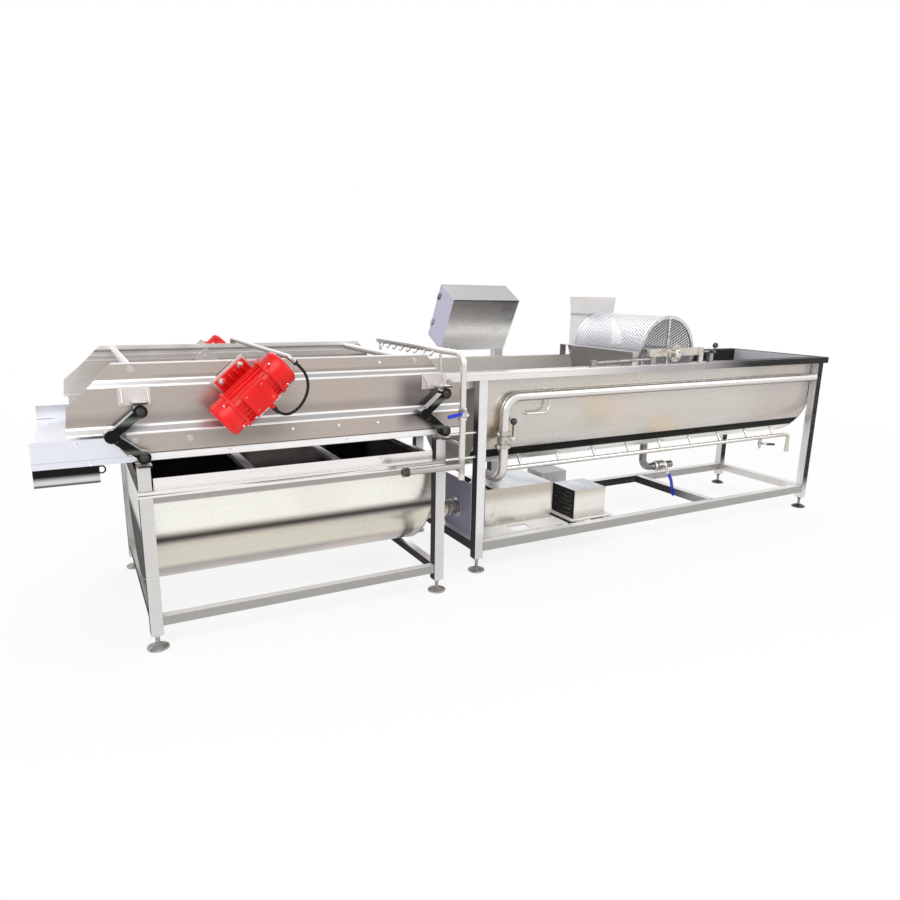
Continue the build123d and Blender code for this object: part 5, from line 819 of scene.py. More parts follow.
def brick(bm, centre, size, turn=None, edge=0.0008):
    """A block with eased edges."""
    turn = turn or Matrix.Identity(4)
    place = Matrix.Translation(Vector(centre)) @ turn @ Matrix.Diagonal((*size, 1))
    verts = bmesh.ops.create_cube(bm, size=1.0, matrix=place)["verts"]
    ease(bm, verts, edge)


def hexagon(bm, place, direction, radius, height):
    """A hexagon head with eased corners, standing on a face."""
    direction = Vector(direction).normalized()
    verts = rod(bm, Vector(place), Vector(place) + direction * height, radius, segments=6)
    ease(bm, verts, radius * 0.09)


def screw(bm, place, direction, radius, height=None):
    """A round-head screw with its hexagon socket."""
    direction = Vector(direction).normalized()
    place = Vector(place)
    height = height or radius * 0.75
    head = rod(bm, place, place + direction * height, radius, segments=16)
    top = max((face for face in {f for v in head for f in v.link_faces}),
              key=lambda face: face.calc_center_median().dot(direction))
    bmesh.ops.bevel(bm, geom=list(top.edges), offset=height * 0.35, offset_type="OFFSET", segments=3,
                    profile=0.5, affect="EDGES", material=-1, clamp_overlap=True)
    top = max((face for face in bm.faces if len(face.verts) == 16 and
               (face.calc_center_median() - place).length < radius * 2),
              key=lambda face: face.calc_center_median().dot(direction))
    bmesh.ops.inset_region(bm, faces=[top], thickness=radius * 0.42, depth=0)
    bmesh.ops.translate(bm, verts=top.verts[:], vec=-direction * height * 0.45)


def turned_shape(bm, profile, origin, direction, steps=32):
    """Spins an outline of (distance along, radius) pairs about a line."""
    turn = toward(direction)
    origin = Vector(origin)
    verts = [bm.verts.new(origin + turn @ Vector((radius, 0, along))) for along, radius in profile]
    edges = [bm.edges.new(pair) for pair in zip(verts[:-1], verts[1:])]
    bmesh.ops.spin(bm, geom=verts + edges, cent=origin, axis=Vector(direction).normalized(),
                   angle=math.tau, steps=steps, use_merge=True, use_duplicate=False)


def weld(bm, start, end, radius):
    """A bead of overlapping drops."""
    start, end = Vector(start), Vector(end)
    run = end - start
    count = max(2, int(run.length / (radius * 1.5)))
    squash = Matrix.Diagonal((1, 1, 0.8, 1))
    for index in range(count + 1):
        place = Matrix.Translation(start + run * index / count) @ toward(run) @ squash
        bmesh.ops.create_icosphere(bm, subdivisions=1, radius=radius, matrix=place)


def piece(name, bm, finish, body, smooth=40):
    """Makes the modelled shape an object that rides on a body."""
    bmesh.ops.remove_doubles(bm, verts=bm.verts, dist=1e-6)
    bmesh.ops.recalc_face_normals(bm, faces=bm.faces)
    mesh = bpy.data.meshes.new(name)
    bm.to_mesh(mesh)
    bm.free()
    mesh.materials.append(finish_for(finish))
    for face in mesh.polygons:
        face.use_smooth = True
    if smooth:
        mesh.set_sharp_from_angle(angle=math.radians(smooth))
    made = bpy.data.objects.new(name, mesh)
    bpy.context.scene.collection.objects.link(made)
    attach(made, body)
    return made


def motor_point(side, along, crossways, out):
    """A point of a vibration motor: along its shaft, across it, and out from the middle."""
    return Vector((MOTOR.x + along * math.cos(MOTOR_TILT) - crossways * math.sin(MOTOR_TILT), side * out,
                   MOTOR.z + along * math.sin(MOTOR_TILT) + crossways * math.cos(MOTOR_TILT)))


def cabinet_point(along, down, out):
    """A point of the cabinet from its own three directions."""
    sine, cosine = math.sin(CABINET_LEAN), math.cos(CABINET_LEAN)
    below = Vector((0, sine, -cosine)) * down
    return CABINET + Vector((along, 0, 0)) + below + Vector((0, cosine, sine)) * out


class LINE_OT_camera(bpy.types.Operator):
    """Sets the view of the line"""

    bl_idname = "line.camera"
    bl_label = "Camera"

    def execute(self, context):
        yaw, pitch, roll = (math.radians(angle) for angle in CAMERA_TURN)
        level = Vector((math.sin(yaw), math.cos(yaw), 0))
        ahead = level * math.cos(pitch) + Z_AXIS * math.sin(pitch)
        right = Vector((math.cos(yaw), -math.sin(yaw), 0))
        up = right.cross(ahead)
        across = right * math.cos(roll) + up * math.sin(roll)
        upward = up * math.cos(roll) - right * math.sin(roll)
        data = bpy.data.cameras.new("view")
        data.lens = sizes().lens
        data.sensor_width = 36
        data.shift_x, data.shift_y = CAMERA_SHIFT
        data.clip_end = 60
        camera = bpy.data.objects.new("view", data)
        context.scene.collection.objects.link(camera)
        turn = Matrix((across, upward, -ahead)).transposed().to_4x4()
        camera.matrix_world = Matrix.Translation(CAMERA_PLACE) @ turn
        context.scene.camera = camera
        return {"FINISHED"}


class LINE_OT_cable(bpy.types.Operator):
    """Lays the front motor's cable and its strain relief"""

    bl_idname = "line.cable"
    bl_label = "Motor cable"

    def execute(self, context):
        route = [(-1.53122, -0.667, 1.0174), (-1.51023, -0.667, 0.99325), (-1.474, -0.663, 0.982),
                 (-1.434, -0.656, 0.997), (-1.398, -0.648, 1.034), (-1.377, -0.638, 1.078),
                 (-1.375, -0.625, 1.122), (-1.39107, -0.612, 1.16009), (-1.42867, -0.612, 1.19394)]
        curve = bpy.data.curves.new("motor_cable_run", "CURVE")
        curve.dimensions = "3D"
        spline = curve.splines.new("NURBS")
        spline.points.add(len(route) - 1)
        for point, place in zip(spline.points, route):
            point.co = (*place, 1)
        spline.order_u = 3
        spline.use_endpoint_u = True
        spline.resolution_u = 12
        curve.bevel_depth = CABLE_DIAMETER / 2
        curve.bevel_resolution = 5
        curve.use_fill_caps = True
        curve.materials.append(finish_for("cable"))
        run = bpy.data.objects.new("motor_cable_run", curve)
        context.scene.collection.objects.link(run)
        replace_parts(run, "motor_cable")
        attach(run, "screen")
        bm = bmesh.new()
        start, lead = Vector(route[0]), Vector(route[1])
        along = (lead - start).normalized()
        outline = [(0.0, 0.0068), (0.0, 0.0105), (0.004, 0.0108), (0.008, 0.0095), (0.011, 0.0098),
                   (0.015, 0.0086), (0.018, 0.0088), (0.022, 0.0076), (0.026, 0.0078), (0.030, 0.0066)]
        turned_shape(bm, outline + [(0.030, 0.0061), (0.0, 0.0061), (0.0, 0.0068)], start, along)
        mouth = Vector((-1.41975, -0.612, 1.18592))
        out = Vector((0.743, 0, -0.669)).normalized()
        turned_shape(bm, [(-0.004, 0.0102), (-0.004, 0.0118), (0.002, 0.0118), (0.006, 0.0098),
                          (0.007, 0.0064), (-0.002, 0.0064), (-0.004, 0.0102)], mouth, out)
        piece("cable_sleeves", bm, "black", "screen")
        return {"FINISHED"}


class LINE_OT_finishes(bpy.types.Operator):
    """Gives every part of the frame its finish"""

    bl_idname = "line.finishes"
    bl_label = "Finishes"

    def execute(self, context):
        for finish, names in NODE_FINISHES.items():
            for name in names.split():
                for slot in NODES[name].material_slots:
                    slot.material = finish_for(finish)
        dressed = " ".join(NODE_FINISHES.values()).split()
        bare = [name for name in NODES if name not in dressed]
        if bare:
            raise RuntimeError(f"no finish for {bare}")
        return {"FINISHED"}


class LINE_OT_drum(bpy.types.Operator):
    """Makes the perforated take-off drum and its bearing's fittings"""

    bl_idname = "line.drum"
    bl_label = "Take-off drum"

    def execute(self, context):
        size = sizes()
        columns, rows = size.hole_columns, size.hole_rows
        radius = DRUM_RADIUS - size.drum_wall / 2
        pitch = math.tau * radius / columns
        height = (DRUM_BACK - DRUM_FRONT) / (rows + 2)
        bm = bmesh.new()
        hole = bmesh.ops.create_circle(bm, cap_ends=False, radius=size.hole_radius, segments=8)["verts"]
        corners = [(1, 0), (1, 1), (0, 1), (-1, 1), (-1, 0), (-1, -1), (0, -1), (1, -1)]
        outer = [bm.verts.new((x * pitch / 2, y * height / 2, 0)) for x, y in corners]
        hole.sort(key=lambda vert: math.atan2(vert.co.y, vert.co.x) % math.tau)
        for index in range(8):
            after = (index + 1) % 8
            bm.faces.new((hole[index], outer[index], outer[after], hole[after]))
        cell = bm.verts[:] + bm.edges[:] + bm.faces[:]
        for index in range(1, columns):
            copy = bmesh.ops.duplicate(bm, geom=cell)["geom"]
            shift(bm, copy, (pitch * index, 0, 0))
        row = bm.verts[:] + bm.edges[:] + bm.faces[:]
        for index in range(1, rows):
            copy = bmesh.ops.duplicate(bm, geom=row)["geom"]
            shift(bm, copy, (pitch / 2 * (index % 2), height * index, 0))
        bmesh.ops.remove_doubles(bm, verts=bm.verts, dist=pitch * 0.01)
        for vert in bm.verts:
            angle = vert.co.x / radius
            along = DRUM_FRONT + height * 1.5 + vert.co.y
            vert.co = DRUM + Vector((radius * math.cos(angle), along, radius * math.sin(angle)))
        bmesh.ops.remove_doubles(bm, verts=bm.verts, dist=pitch * 0.01)
        ends = (DRUM_FRONT + height, DRUM_BACK - height)
        for end, way in zip(ends, (-1, 1)):
            loop = [edge for edge in bm.edges if edge.is_boundary
                    and all(abs(vert.co.y - end) < height * 0.1 for vert in edge.verts)]
            grown = bmesh.ops.extrude_edge_only(bm, edges=loop)["geom"]
            shift(bm, grown, (0, way * height, 0))
        shell = piece("drum_perforated_shell", bm, "drum", "drum", smooth=30)
        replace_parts(shell, "drum_shell")
        wall = shell.modifiers.new("wall", "SOLIDIFY")
        wall.thickness = size.drum_wall
        wall.offset = 0
        self.bands()
        self.bearing()
        return {"FINISHED"}

    def bands(self):
        """Rolled edges at both ends and their rivets."""
        bm = bmesh.new()
        for end, way in ((DRUM_FRONT, 1), (DRUM_BACK, -1)):
            outline = [(0, 0.2125), (0, 0.2158), (way * 0.002, 0.2166), (way * 0.009, 0.2166),
                       (way * 0.0105, 0.2158), (way * 0.0105, 0.2125), (0, 0.2125)]
            turned_shape(bm, outline, (DRUM.x, end, DRUM.z), Y_AXIS, 96)
        for index in range(24):
            angle = math.tau * index / 24
            out = Vector((math.cos(angle), 0, math.sin(angle)))
            for y in (DRUM_FRONT + 0.006, DRUM_BACK - 0.006):
                screw(bm, Vector((DRUM.x, y, DRUM.z)) + out * 0.2160, out, 0.0035, 0.002)
        piece("drum_end_bands", bm, "drum", "drum")

    def bearing(self):
        """Flange bearing: grease nipple, collar with set screws, and the screws of the bearing and the
        drum's bridge.
        """
        bm = bmesh.new()
        face = -0.406
        turned_shape(bm, [(0, 0.0155), (0, 0.0235), (0.009, 0.0225), (0.0105, 0.0205), (0.0105, 0.0155),
                          (0, 0.0155)], (DRUM.x, face, DRUM.z), -Y_AXIS)
        for angle in (60, 180, 300):
            out = Vector((math.cos(math.radians(angle)), 0, math.sin(math.radians(angle))))
            screw(bm, Vector((DRUM.x, face - 0.005, DRUM.z)) + out * 0.0228, out, 0.0028, 0.0016)
        turned_shape(bm, [(-0.010, 0.003), (0, 0.003), (0, 0.0045), (0.004, 0.0045), (0.004, 0.003),
                          (0.009, 0.0028), (0.010, 0.0038), (0.0125, 0.0038), (0.0135, 0.0015),
                          (0.0135, 0)], (DRUM.x, -0.3905, DRUM.z + 0.049), Z_AXIS, 16)
        turned_shape(bm, [(0, 0.0138), (0.002, 0.0148), (0.0035, 0.0118), (0.0035, 0), (0, 0)],
                     (DRUM.x, -0.4045, DRUM.z), -Y_AXIS)
        piece("bearing_fittings", bm, "bright", "frame")
        bm = bmesh.new()
        for x, z in ((0.752, 1.165), (0.752, 1.139), (0.806, 1.165), (0.806, 1.139)):
            screw(bm, (x, -0.396, z), -Y_AXIS, 0.0045, 0.003)
        for x in (1.168, 1.180):
            screw(bm, (x, -0.384, 1.105), -Y_AXIS, 0.0042, 0.003)
        for x, z in ((0.70, 1.152), (0.86, 1.152), (1.03, 1.152), (1.14, 1.152)):
            screw(bm, (x + 0.05, -0.384, z), -Y_AXIS, 0.0032, 0.0025)
        piece("bridge_screws", bm, "bright", "frame")


class LINE_OT_stands(bpy.types.Operator):
    """Makes the stud threads, foot washers and weld beads of both stands"""

    bl_idname = "line.stands"
    bl_label = "Stands"

    def execute(self, context):
        size = sizes()
        feet = [(x, side * TANK_LEG_Y, 0.075) for x in LEG_X_TANK for side in (-1, 1)]
        feet += [(x, side * SCREEN_LEG_Y, 0.065) for x in LEG_X_SCREEN for side in (-1, 1)]
        bm = bmesh.new()
        for x, y, base in feet:
            low, high = 0.0225, base - 0.0132
            turns = int((high - low) / size.thread_pitch)
            outline = [(0, 0.0080)]
            for index in range(turns):
                start = index * size.thread_pitch
                outline += [(start + size.thread_pitch * 0.5, 0.0091),
                            (start + size.thread_pitch, 0.0080)]
            turned_shape(bm, outline, (x, y, low), Z_AXIS, 20)
        piece("stud_threads", bm, "stud", "frame", smooth=0)
        bm = bmesh.new()
        for x, y, base in feet:
            turned_shape(bm, [(0, 0.0085), (0, 0.0175), (0.0006, 0.0182), (0.0018, 0.0182),
                              (0.0022, 0.0175), (0.0022, 0.0085)], (x, y, base - 0.0022), Z_AXIS, 28)
            turned_shape(bm, [(0, 0.0438), (0.0035, 0.0452), (0.0075, 0.0446), (0.0085, 0.0425)],
                         (x, y, 0.0004), Z_AXIS, 36)
        piece("foot_washers", bm, "feet", "frame")
        self.tank_welds(size.weld_radius)
        self.screen_welds(size.weld_radius)
        return {"FINISHED"}

    def tank_welds(self, radius):
        """Beads where the wash tank's rails meet its legs."""
        bm = bmesh.new()
        low, high = RAIL_LOW, RAIL_HIGH
        for x, way in ((TANK_X0 + TUBE, 1), (TANK_X1 - TUBE, -1)):
            for side in (-1, 1):
                weld(bm, (x, side * 0.390, low), (x, side * 0.390, high), radius)
                weld(bm, (x, side * 0.343, high), (x, side * 0.387, high), radius)
                weld(bm, (x - way * 0.047, side * 0.340, high),
                     (x - way * 0.003, side * 0.340, high), radius)
        for x in (TANK_X0 + 0.10, TANK_X0 + 0.60, TANK_X0 + 0.76, TANK_X0 + 0.96, TANK_X0 + 1.85):
            for side in (-1, 1):
                weld(bm, (x - 0.022, side * 0.340, high), (x + 0.022, side * 0.340, high), radius)
        for x in (TANK_X0, TANK_X1 - TUBE):
            for side in (-1, 1):
                weld(bm, (x + 0.004, side * 0.390, 1.0795), (x + 0.046, side * 0.390, 1.0795), radius)
        piece("tank_weld_beads", bm, "weld", "frame")

    def screen_welds(self, radius):
        """Beads where the screen stand's rails and short posts meet its legs."""
        bm = bmesh.new()
        for leg_x, way in zip(LEG_X_SCREEN, (1, -1)):
            for side in (-1, 1):
                face_x = leg_x + way * 0.025
                outer = side * (SCREEN_LEG_Y + 0.0205)
                weld(bm, (face_x, outer, 0.106), (face_x, outer, 0.142), radius)
                weld(bm, (face_x, side * (SCREEN_LEG_Y - 0.018), 0.1445),
                     (face_x, side * (SCREEN_LEG_Y + 0.018), 0.1445), radius)
                foot = SCREEN_POST_FOOT
                for y in (SCREEN_LEG_Y - 0.025, SCREEN_LEG_Y + 0.025):
                    weld(bm, (leg_x - 0.022, side * y, foot), (leg_x + 0.022, side * y, foot), radius)
                for x in (leg_x - 0.025, leg_x + 0.025):
                    weld(bm, (x, side * (SCREEN_LEG_Y - 0.022), foot),
                         (x, side * (SCREEN_LEG_Y + 0.022), foot), radius)
        piece("screen_weld_beads", bm, "weld", "frame")


class LINE_OT_tanks(bpy.types.Operator):
    """Makes the seams of the trough and the basin, the rims' corner welds and the basin's stays"""

    bl_idname = "line.tanks"
    bl_label = "Tank seams"

    def execute(self, context):
        bm = bmesh.new()
        for x, radius, axis_z, width in ((TANK_X0 + 0.0295, 0.3378, TROUGH_AXIS_Z, 0.0022),
                                         (TANK_X1 - 0.0295, 0.3378, TROUGH_AXIS_Z, 0.0022),
                                         (SCREEN_X0 + 0.0215, 0.4608, BASIN_AXIS_Z, 0.0024),
                                         (SCREEN_X1 - 0.0215, 0.4608, BASIN_AXIS_Z, 0.0024)):
            ring = bmesh.ops.create_circle(bm, cap_ends=False, radius=width, segments=6,
                                           matrix=Matrix.Translation((x, radius, axis_z)))["verts"]
            loop = list({edge for vert in ring for edge in vert.link_edges})
            bmesh.ops.spin(bm, geom=ring + loop, cent=(x, 0, axis_z), axis=X_AXIS, angle=-math.pi,
                           steps=72, use_merge=False, use_duplicate=False)
        piece("tank_seams", bm, "weld", "frame", smooth=60)
        bm = bmesh.new()
        for side in (-1, 1):
            weld(bm, (TANK_X1 + 0.018, side * 0.335, 1.0843),
                 (TANK_X1 - 0.026, side * 0.335, 1.0843), 0.0014)
            for x, way in ((SCREEN_X0, 1), (SCREEN_X1, -1)):
                weld(bm, (x + way * 0.003, side * 0.4575, 0.6853),
                     (x + way * 0.020, side * 0.4575, 0.6853), 0.0014)
        piece("rim_corner_welds", bm, "weld", "frame")
        bm = bmesh.new()
        for x, width in ((-1.55, 0.040), (-1.135, 0.035)):
            brick(bm, (x, 0, 0.668), (width, 0.88, 0.030))
        piece("basin_stays", bm, "chute", "frame")
        return {"FINISHED"}


class LINE_OT_motors(bpy.types.Operator):
    """Makes the vibration motors' screws, lugs, ribs and washers"""

    bl_idname = "line.motors"
    bl_label = "Vibration motors"

    def execute(self, context):
        bright = bmesh.new()
        red = bmesh.new()
        shaft = Vector((math.cos(MOTOR_TILT), 0, math.sin(MOTOR_TILT)))
        across = Vector((-math.sin(MOTOR_TILT), 0, math.cos(MOTOR_TILT)))
        for side in (-1, 1):
            out = Vector((0, side, 0))
            for end in (-1, 1):
                for index in range(4):
                    angle = math.radians(45 + 90 * index)
                    away = across * math.sin(angle) + out * math.cos(angle)
                    centre = motor_point(side, end * 0.103, 0, MOTOR_OUT) + away * 0.0775
                    rod(red, centre - shaft * end * 0.012, centre + shaft * end * 0.016, 0.0095)
                    screw(bright, centre + shaft * end * 0.016, shaft * end, 0.0062, 0.0055)
                for crossways in (-0.097, 0.097):
                    place = motor_point(side, end * 0.050, crossways, 0.486)
                    rod(bright, place, place + out * 0.0022, 0.0145, segments=24)
                    hexagon(bright, place + out * 0.0018, out, 0.0118, 0.0095)
                    rod(bright, place + out * 0.0105, place + out * 0.0145, 0.0058)
                for crossways in (-0.0345, 0.0345):
                    place = motor_point(side, end * 0.039, crossways, 0.6995)
                    screw(bright, place, out, 0.0048, 0.0034)
                turned_shape(red, [(0, 0.0695), (0, 0.0835), (0.002, 0.0848), (0.012, 0.0848),
                                   (0.014, 0.0835), (0.014, 0.0755)],
                             motor_point(side, end * 0.0885, 0, MOTOR_OUT), shaft * end, 48)
                turned_shape(red, [(0, 0.0748), (0, 0.0772), (0.0025, 0.0778), (0.005, 0.0772),
                                   (0.005, 0.0748)],
                             motor_point(side, end * 0.148, 0, MOTOR_OUT), shaft * end, 48)
            for rib in (-0.045, -0.015, 0.015, 0.045):
                for way in (-1, 1):
                    centre = motor_point(side, rib, way * 0.088, 0.502)
                    turn = Matrix.Rotation(-MOTOR_TILT, 4, "Y")
                    brick(red, centre, (0.006, 0.052, 0.034), turn, 0.0012)
        piece("motor_lugs", red, "red", "screen")
        piece("motor_screws", bright, "bright", "screen")
        return {"FINISHED"}


class LINE_OT_screen(bpy.types.Operator):
    """Makes the screws of the side plates, chute and mounts, and the brackets' gussets"""

    bl_idname = "line.screen"
    bl_label = "Screen fastenings"

    def execute(self, context):
        bm = bmesh.new()
        for side in (-1, 1):
            out = Vector((0, side, 0))
            for x, z, y in ((-1.40, 0.886, 0.4702), (-1.19, 0.886, 0.4702), (-1.00, 0.886, 0.4702),
                            (-1.672, 0.816, 0.4702), (-1.152, 0.814, 0.4702), (-0.98, 1.158, 0.4462)):
                screw(bm, (x, side * y, z), out, 0.0068, 0.0042)
            for x, z in ((-2.2395, 0.887), (-2.196, 0.8085)):
                screw(bm, (x, side * 0.4715, z), out, 0.0072, 0.0045)
            for x in (-1.9, -1.6, -1.3, -1.0):
                screw(bm, (x, side * 0.502, 0.722), out, 0.0045, 0.003)
        piece("plate_screws", bm, "bright", "screen")
        bm = bmesh.new()
        for side in (-1, 1):
            y = side * 0.512
            for leg_x in LEG_X_SCREEN:
                for dx in (-0.020, 0.020):
                    hexagon(bm, (leg_x + dx, y - side * 0.027, 0.796), Z_AXIS, 0.0055, 0.004)
        piece("mount_bolts", bm, "bright", "frame")
        bm = bmesh.new()
        for side in (-1, 1):
            for x in (SCREEN_X0 + 0.0225, SCREEN_X1 - 0.0385):
                for way in (-1, 1):
                    near = Vector((x + way * 0.047, side * 0.4642, 1.028))
                    far = Vector((x + way * 0.047, side * 0.500, 1.040))
                    top = Vector((x + way * 0.047, side * 0.4642, 1.094))
                    corners = [bm.verts.new(point + Vector((dx, 0, 0))) for dx in (-0.0015, 0.0015)
                               for point in (near, far, top)]
                    bmesh.ops.convex_hull(bm, input=corners)
        piece("bracket_gussets", bm, "bracket", "screen", smooth=20)
        return {"FINISHED"}


class LINE_OT_valves(bpy.types.Operator):
    """Makes the nuts, wing nuts, threads, nozzles and hose of the pipework"""

    bl_idname = "line.valves"
    bl_label = "Pipework fittings"

    def execute(self, context):
        bm = bmesh.new()
        for place, radius in (((DRAIN_X, -0.062, DRAIN_Z), 0.0105), ((SAMPLE_X, -0.271, SAMPLE_Z), 0.0062),
                              ((SPRAY_X, -0.647, SPRAY_VALVE_Z), 0.0075)):
            hexagon(bm, place, -Y_AXIS, radius, radius * 0.75)
            rod(bm, place, Vector(place) - Y_AXIS * radius, radius * 0.5)
        for centre, radius, half, along in (
                ((DRAIN_X, 0, DRAIN_Z), 0.034, 0.050, X_AXIS),
                ((SPRAY_X, SPRAY_Y, SPRAY_VALVE_Z), 0.0215, 0.030, Z_AXIS),
                ((SAMPLE_X, SAMPLE_Y, SAMPLE_Z), 0.0135, 0.015, Z_AXIS)):
            for end in (-1, 1):
                start = Vector(centre) + along * end * half
                hexagon(bm, start, -along * end, radius, half * 0.32)
        self.clamps(bm)
        piece("pipe_fastenings", bm, "bright", "frame")
        bm = bmesh.new()
        pitch = 0.0023
        outline = [(0, 0.0135)]
        for index in range(14):
            outline += [(index * pitch + pitch / 2, 0.0206), (index * pitch + pitch, 0.0190)]
        turned_shape(bm, outline, (-0.9367, SPRAY_Y, 0.667), X_AXIS, 28)
        piece("branch_thread", bm, "thread", "frame", smooth=0)
        bm = bmesh.new()
        out = Vector((-1, 0, -1)).normalized()
        for index in range(NOZZLES):
            y = -0.310 + NOZZLE_PITCH * index
            start = Vector((SPRAY_X, y, 1.197)) + out * 0.0335
            turned_shape(bm, [(0, 0.0036), (0, 0.0085), (0.0012, 0.0092), (0.007, 0.0092), (0.009, 0.0078),
                              (0.009, 0.0040), (0, 0.0036)], start, out, 24)
            hexagon(bm, start - out * 0.009, out, 0.0098, 0.0062)
        piece("spray_nozzles", bm, "bright", "frame")
        self.hose()
        return {"FINISHED"}

    def clamps(self, bm):
        """Wing nuts and hinge pins on the ring clamps, worm drives on the hose bands."""
        for y, z in ((PIPE_Y, 0.754), (PIPE_Y, 0.683), (PUMP_Y, 0.402)):
            x = RISER_X - 0.045
            rod(bm, (x, y - 0.030, z), (x, y + 0.014, z), 0.0032)
            turned_shape(bm, [(0, 0.0035), (0, 0.0075), (0.008, 0.0062), (0.010, 0.0035)],
                         (x, y - 0.0125, z), -Y_AXIS, 20)
            for way in (-1, 1):
                brick(bm, (x, y - 0.020, z + way * 0.010), (0.0032, 0.009, 0.014),
                      Matrix.Rotation(way * 0.35, 4, "X"), 0.0012)
            hinge = RISER_X + 0.0385
            rod(bm, (hinge, y, z - 0.0095), (hinge, y, z + 0.0095), 0.0046)
            rod(bm, (hinge, y, z - 0.0105), (hinge, y, z + 0.0105), 0.0022)
        for x in (-0.6575, -0.4005):
            brick(bm, (x, PUMP_Y - 0.012, PUMP_Z + 0.0475), (0.0125, 0.022, 0.010), None, 0.0012)
            hexagon(bm, (x, PUMP_Y - 0.023, PUMP_Z + 0.0475), -Y_AXIS, 0.0048, 0.006)

    def hose(self):
        """The suction hose with its rounded ribs, in place of the plain one."""
        low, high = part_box("suction_hose")
        pitch = sizes().hose_pitch
        bm = bmesh.new()
        length = high[0] - low[0]
        cuff = 0.052
        ribs = int((length - 2 * cuff) / pitch)
        outline = [(0, 0.0345), (0, 0.0392), (0.0008, 0.040), (cuff - 0.004, 0.040)]
        start = (length - ribs * pitch) / 2
        for index in range(ribs):
            along = start + index * pitch
            for share, radius in ((0.0, 0.0398), (0.16, 0.0404), (0.32, 0.0432), (0.5, 0.0441),
                                  (0.68, 0.0432), (0.84, 0.0404)):
                outline.append((along + share * pitch, radius))
        outline += [(start + ribs * pitch, 0.0398), (length - 0.0008, 0.040), (length, 0.0392),
                    (length, 0.0345), (0, 0.0345)]
        turned_shape(bm, outline, (low[0], PUMP_Y, PUMP_Z), X_AXIS, 48)
        hose = piece("suction_hose_ribs", bm, "hose", "frame", smooth=60)
        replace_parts(hose, "suction_hose")


class LINE_OT_covers(bpy.types.Operator):
    """Makes the covers' screws, wing and louvres, and the pump panel's collar"""

    bl_idname = "line.covers"
    bl_label = "Covers"

    def execute(self, context):
        size = sizes()
        bm = bmesh.new()
        for x0, x1, y in ((TANK_X0 + 0.232, TANK_X0 + 0.635, -0.200),
                          (TANK_X0 + 0.732, TANK_X0 + 0.966, -0.300)):
            for x in (x0 + 0.022, (x0 + x1) / 2, x1 - 0.022):
                screw(bm, (x, y, 0.184), -Y_AXIS, size.screw_radius * 0.8, 0.003)
        panel_x = TANK_X0 + TUBE
        for y in (-0.238, 0.038):
            for z in (0.134, 0.442):
                screw(bm, (panel_x, y, z), -X_AXIS, size.screw_radius * 0.8, 0.003)
        for x in (TANK_X0 + 0.075, TANK_X0 + 0.640):
            for y in (-0.325, 0.135):
                screw(bm, (x, y, PLATES_TOP), Z_AXIS, size.screw_radius * 0.8, 0.003)
        piece("cover_screws", bm, "bright", "frame")
        bm = bmesh.new()
        turned_shape(bm, [(0, 0.0475), (0, 0.060), (0.0008, 0.0615), (0.0030, 0.0615), (0.0038, 0.060),
                          (0.0038, 0.0475), (0, 0.0475)], (panel_x, PUMP_Y, PUMP_Z), -X_AXIS, 48)
        piece("panel_collar", bm, "lavender", "frame")
        bm = bmesh.new()
        brick(bm, (TANK_X0 + 0.202, -0.1992, 0.2820), (0.060, 0.0015, 0.220), None, 0.0004)
        piece("cover_wing", bm, "cover", "frame")
        bm = bmesh.new()
        blade = Matrix.Rotation(0.6, 4, "Y") @ Matrix.Diagonal((0.010, 0.150, 0.0012, 1))
        for index in range(LOUVRES):
            z = PLATES_TOP + (BLOWER_TOP - PLATES_TOP) / (LOUVRES + 1) * (index + 1)
            place = Matrix.Translation((TANK_X0 + 0.7305, -0.1925, z + 0.0035)) @ blade
            ease(bm, bmesh.ops.create_cube(bm, size=1.0, matrix=place)["verts"], 0.0003, 1)
        piece("blower_louvres", bm, "cover", "frame")
        return {"FINISHED"}


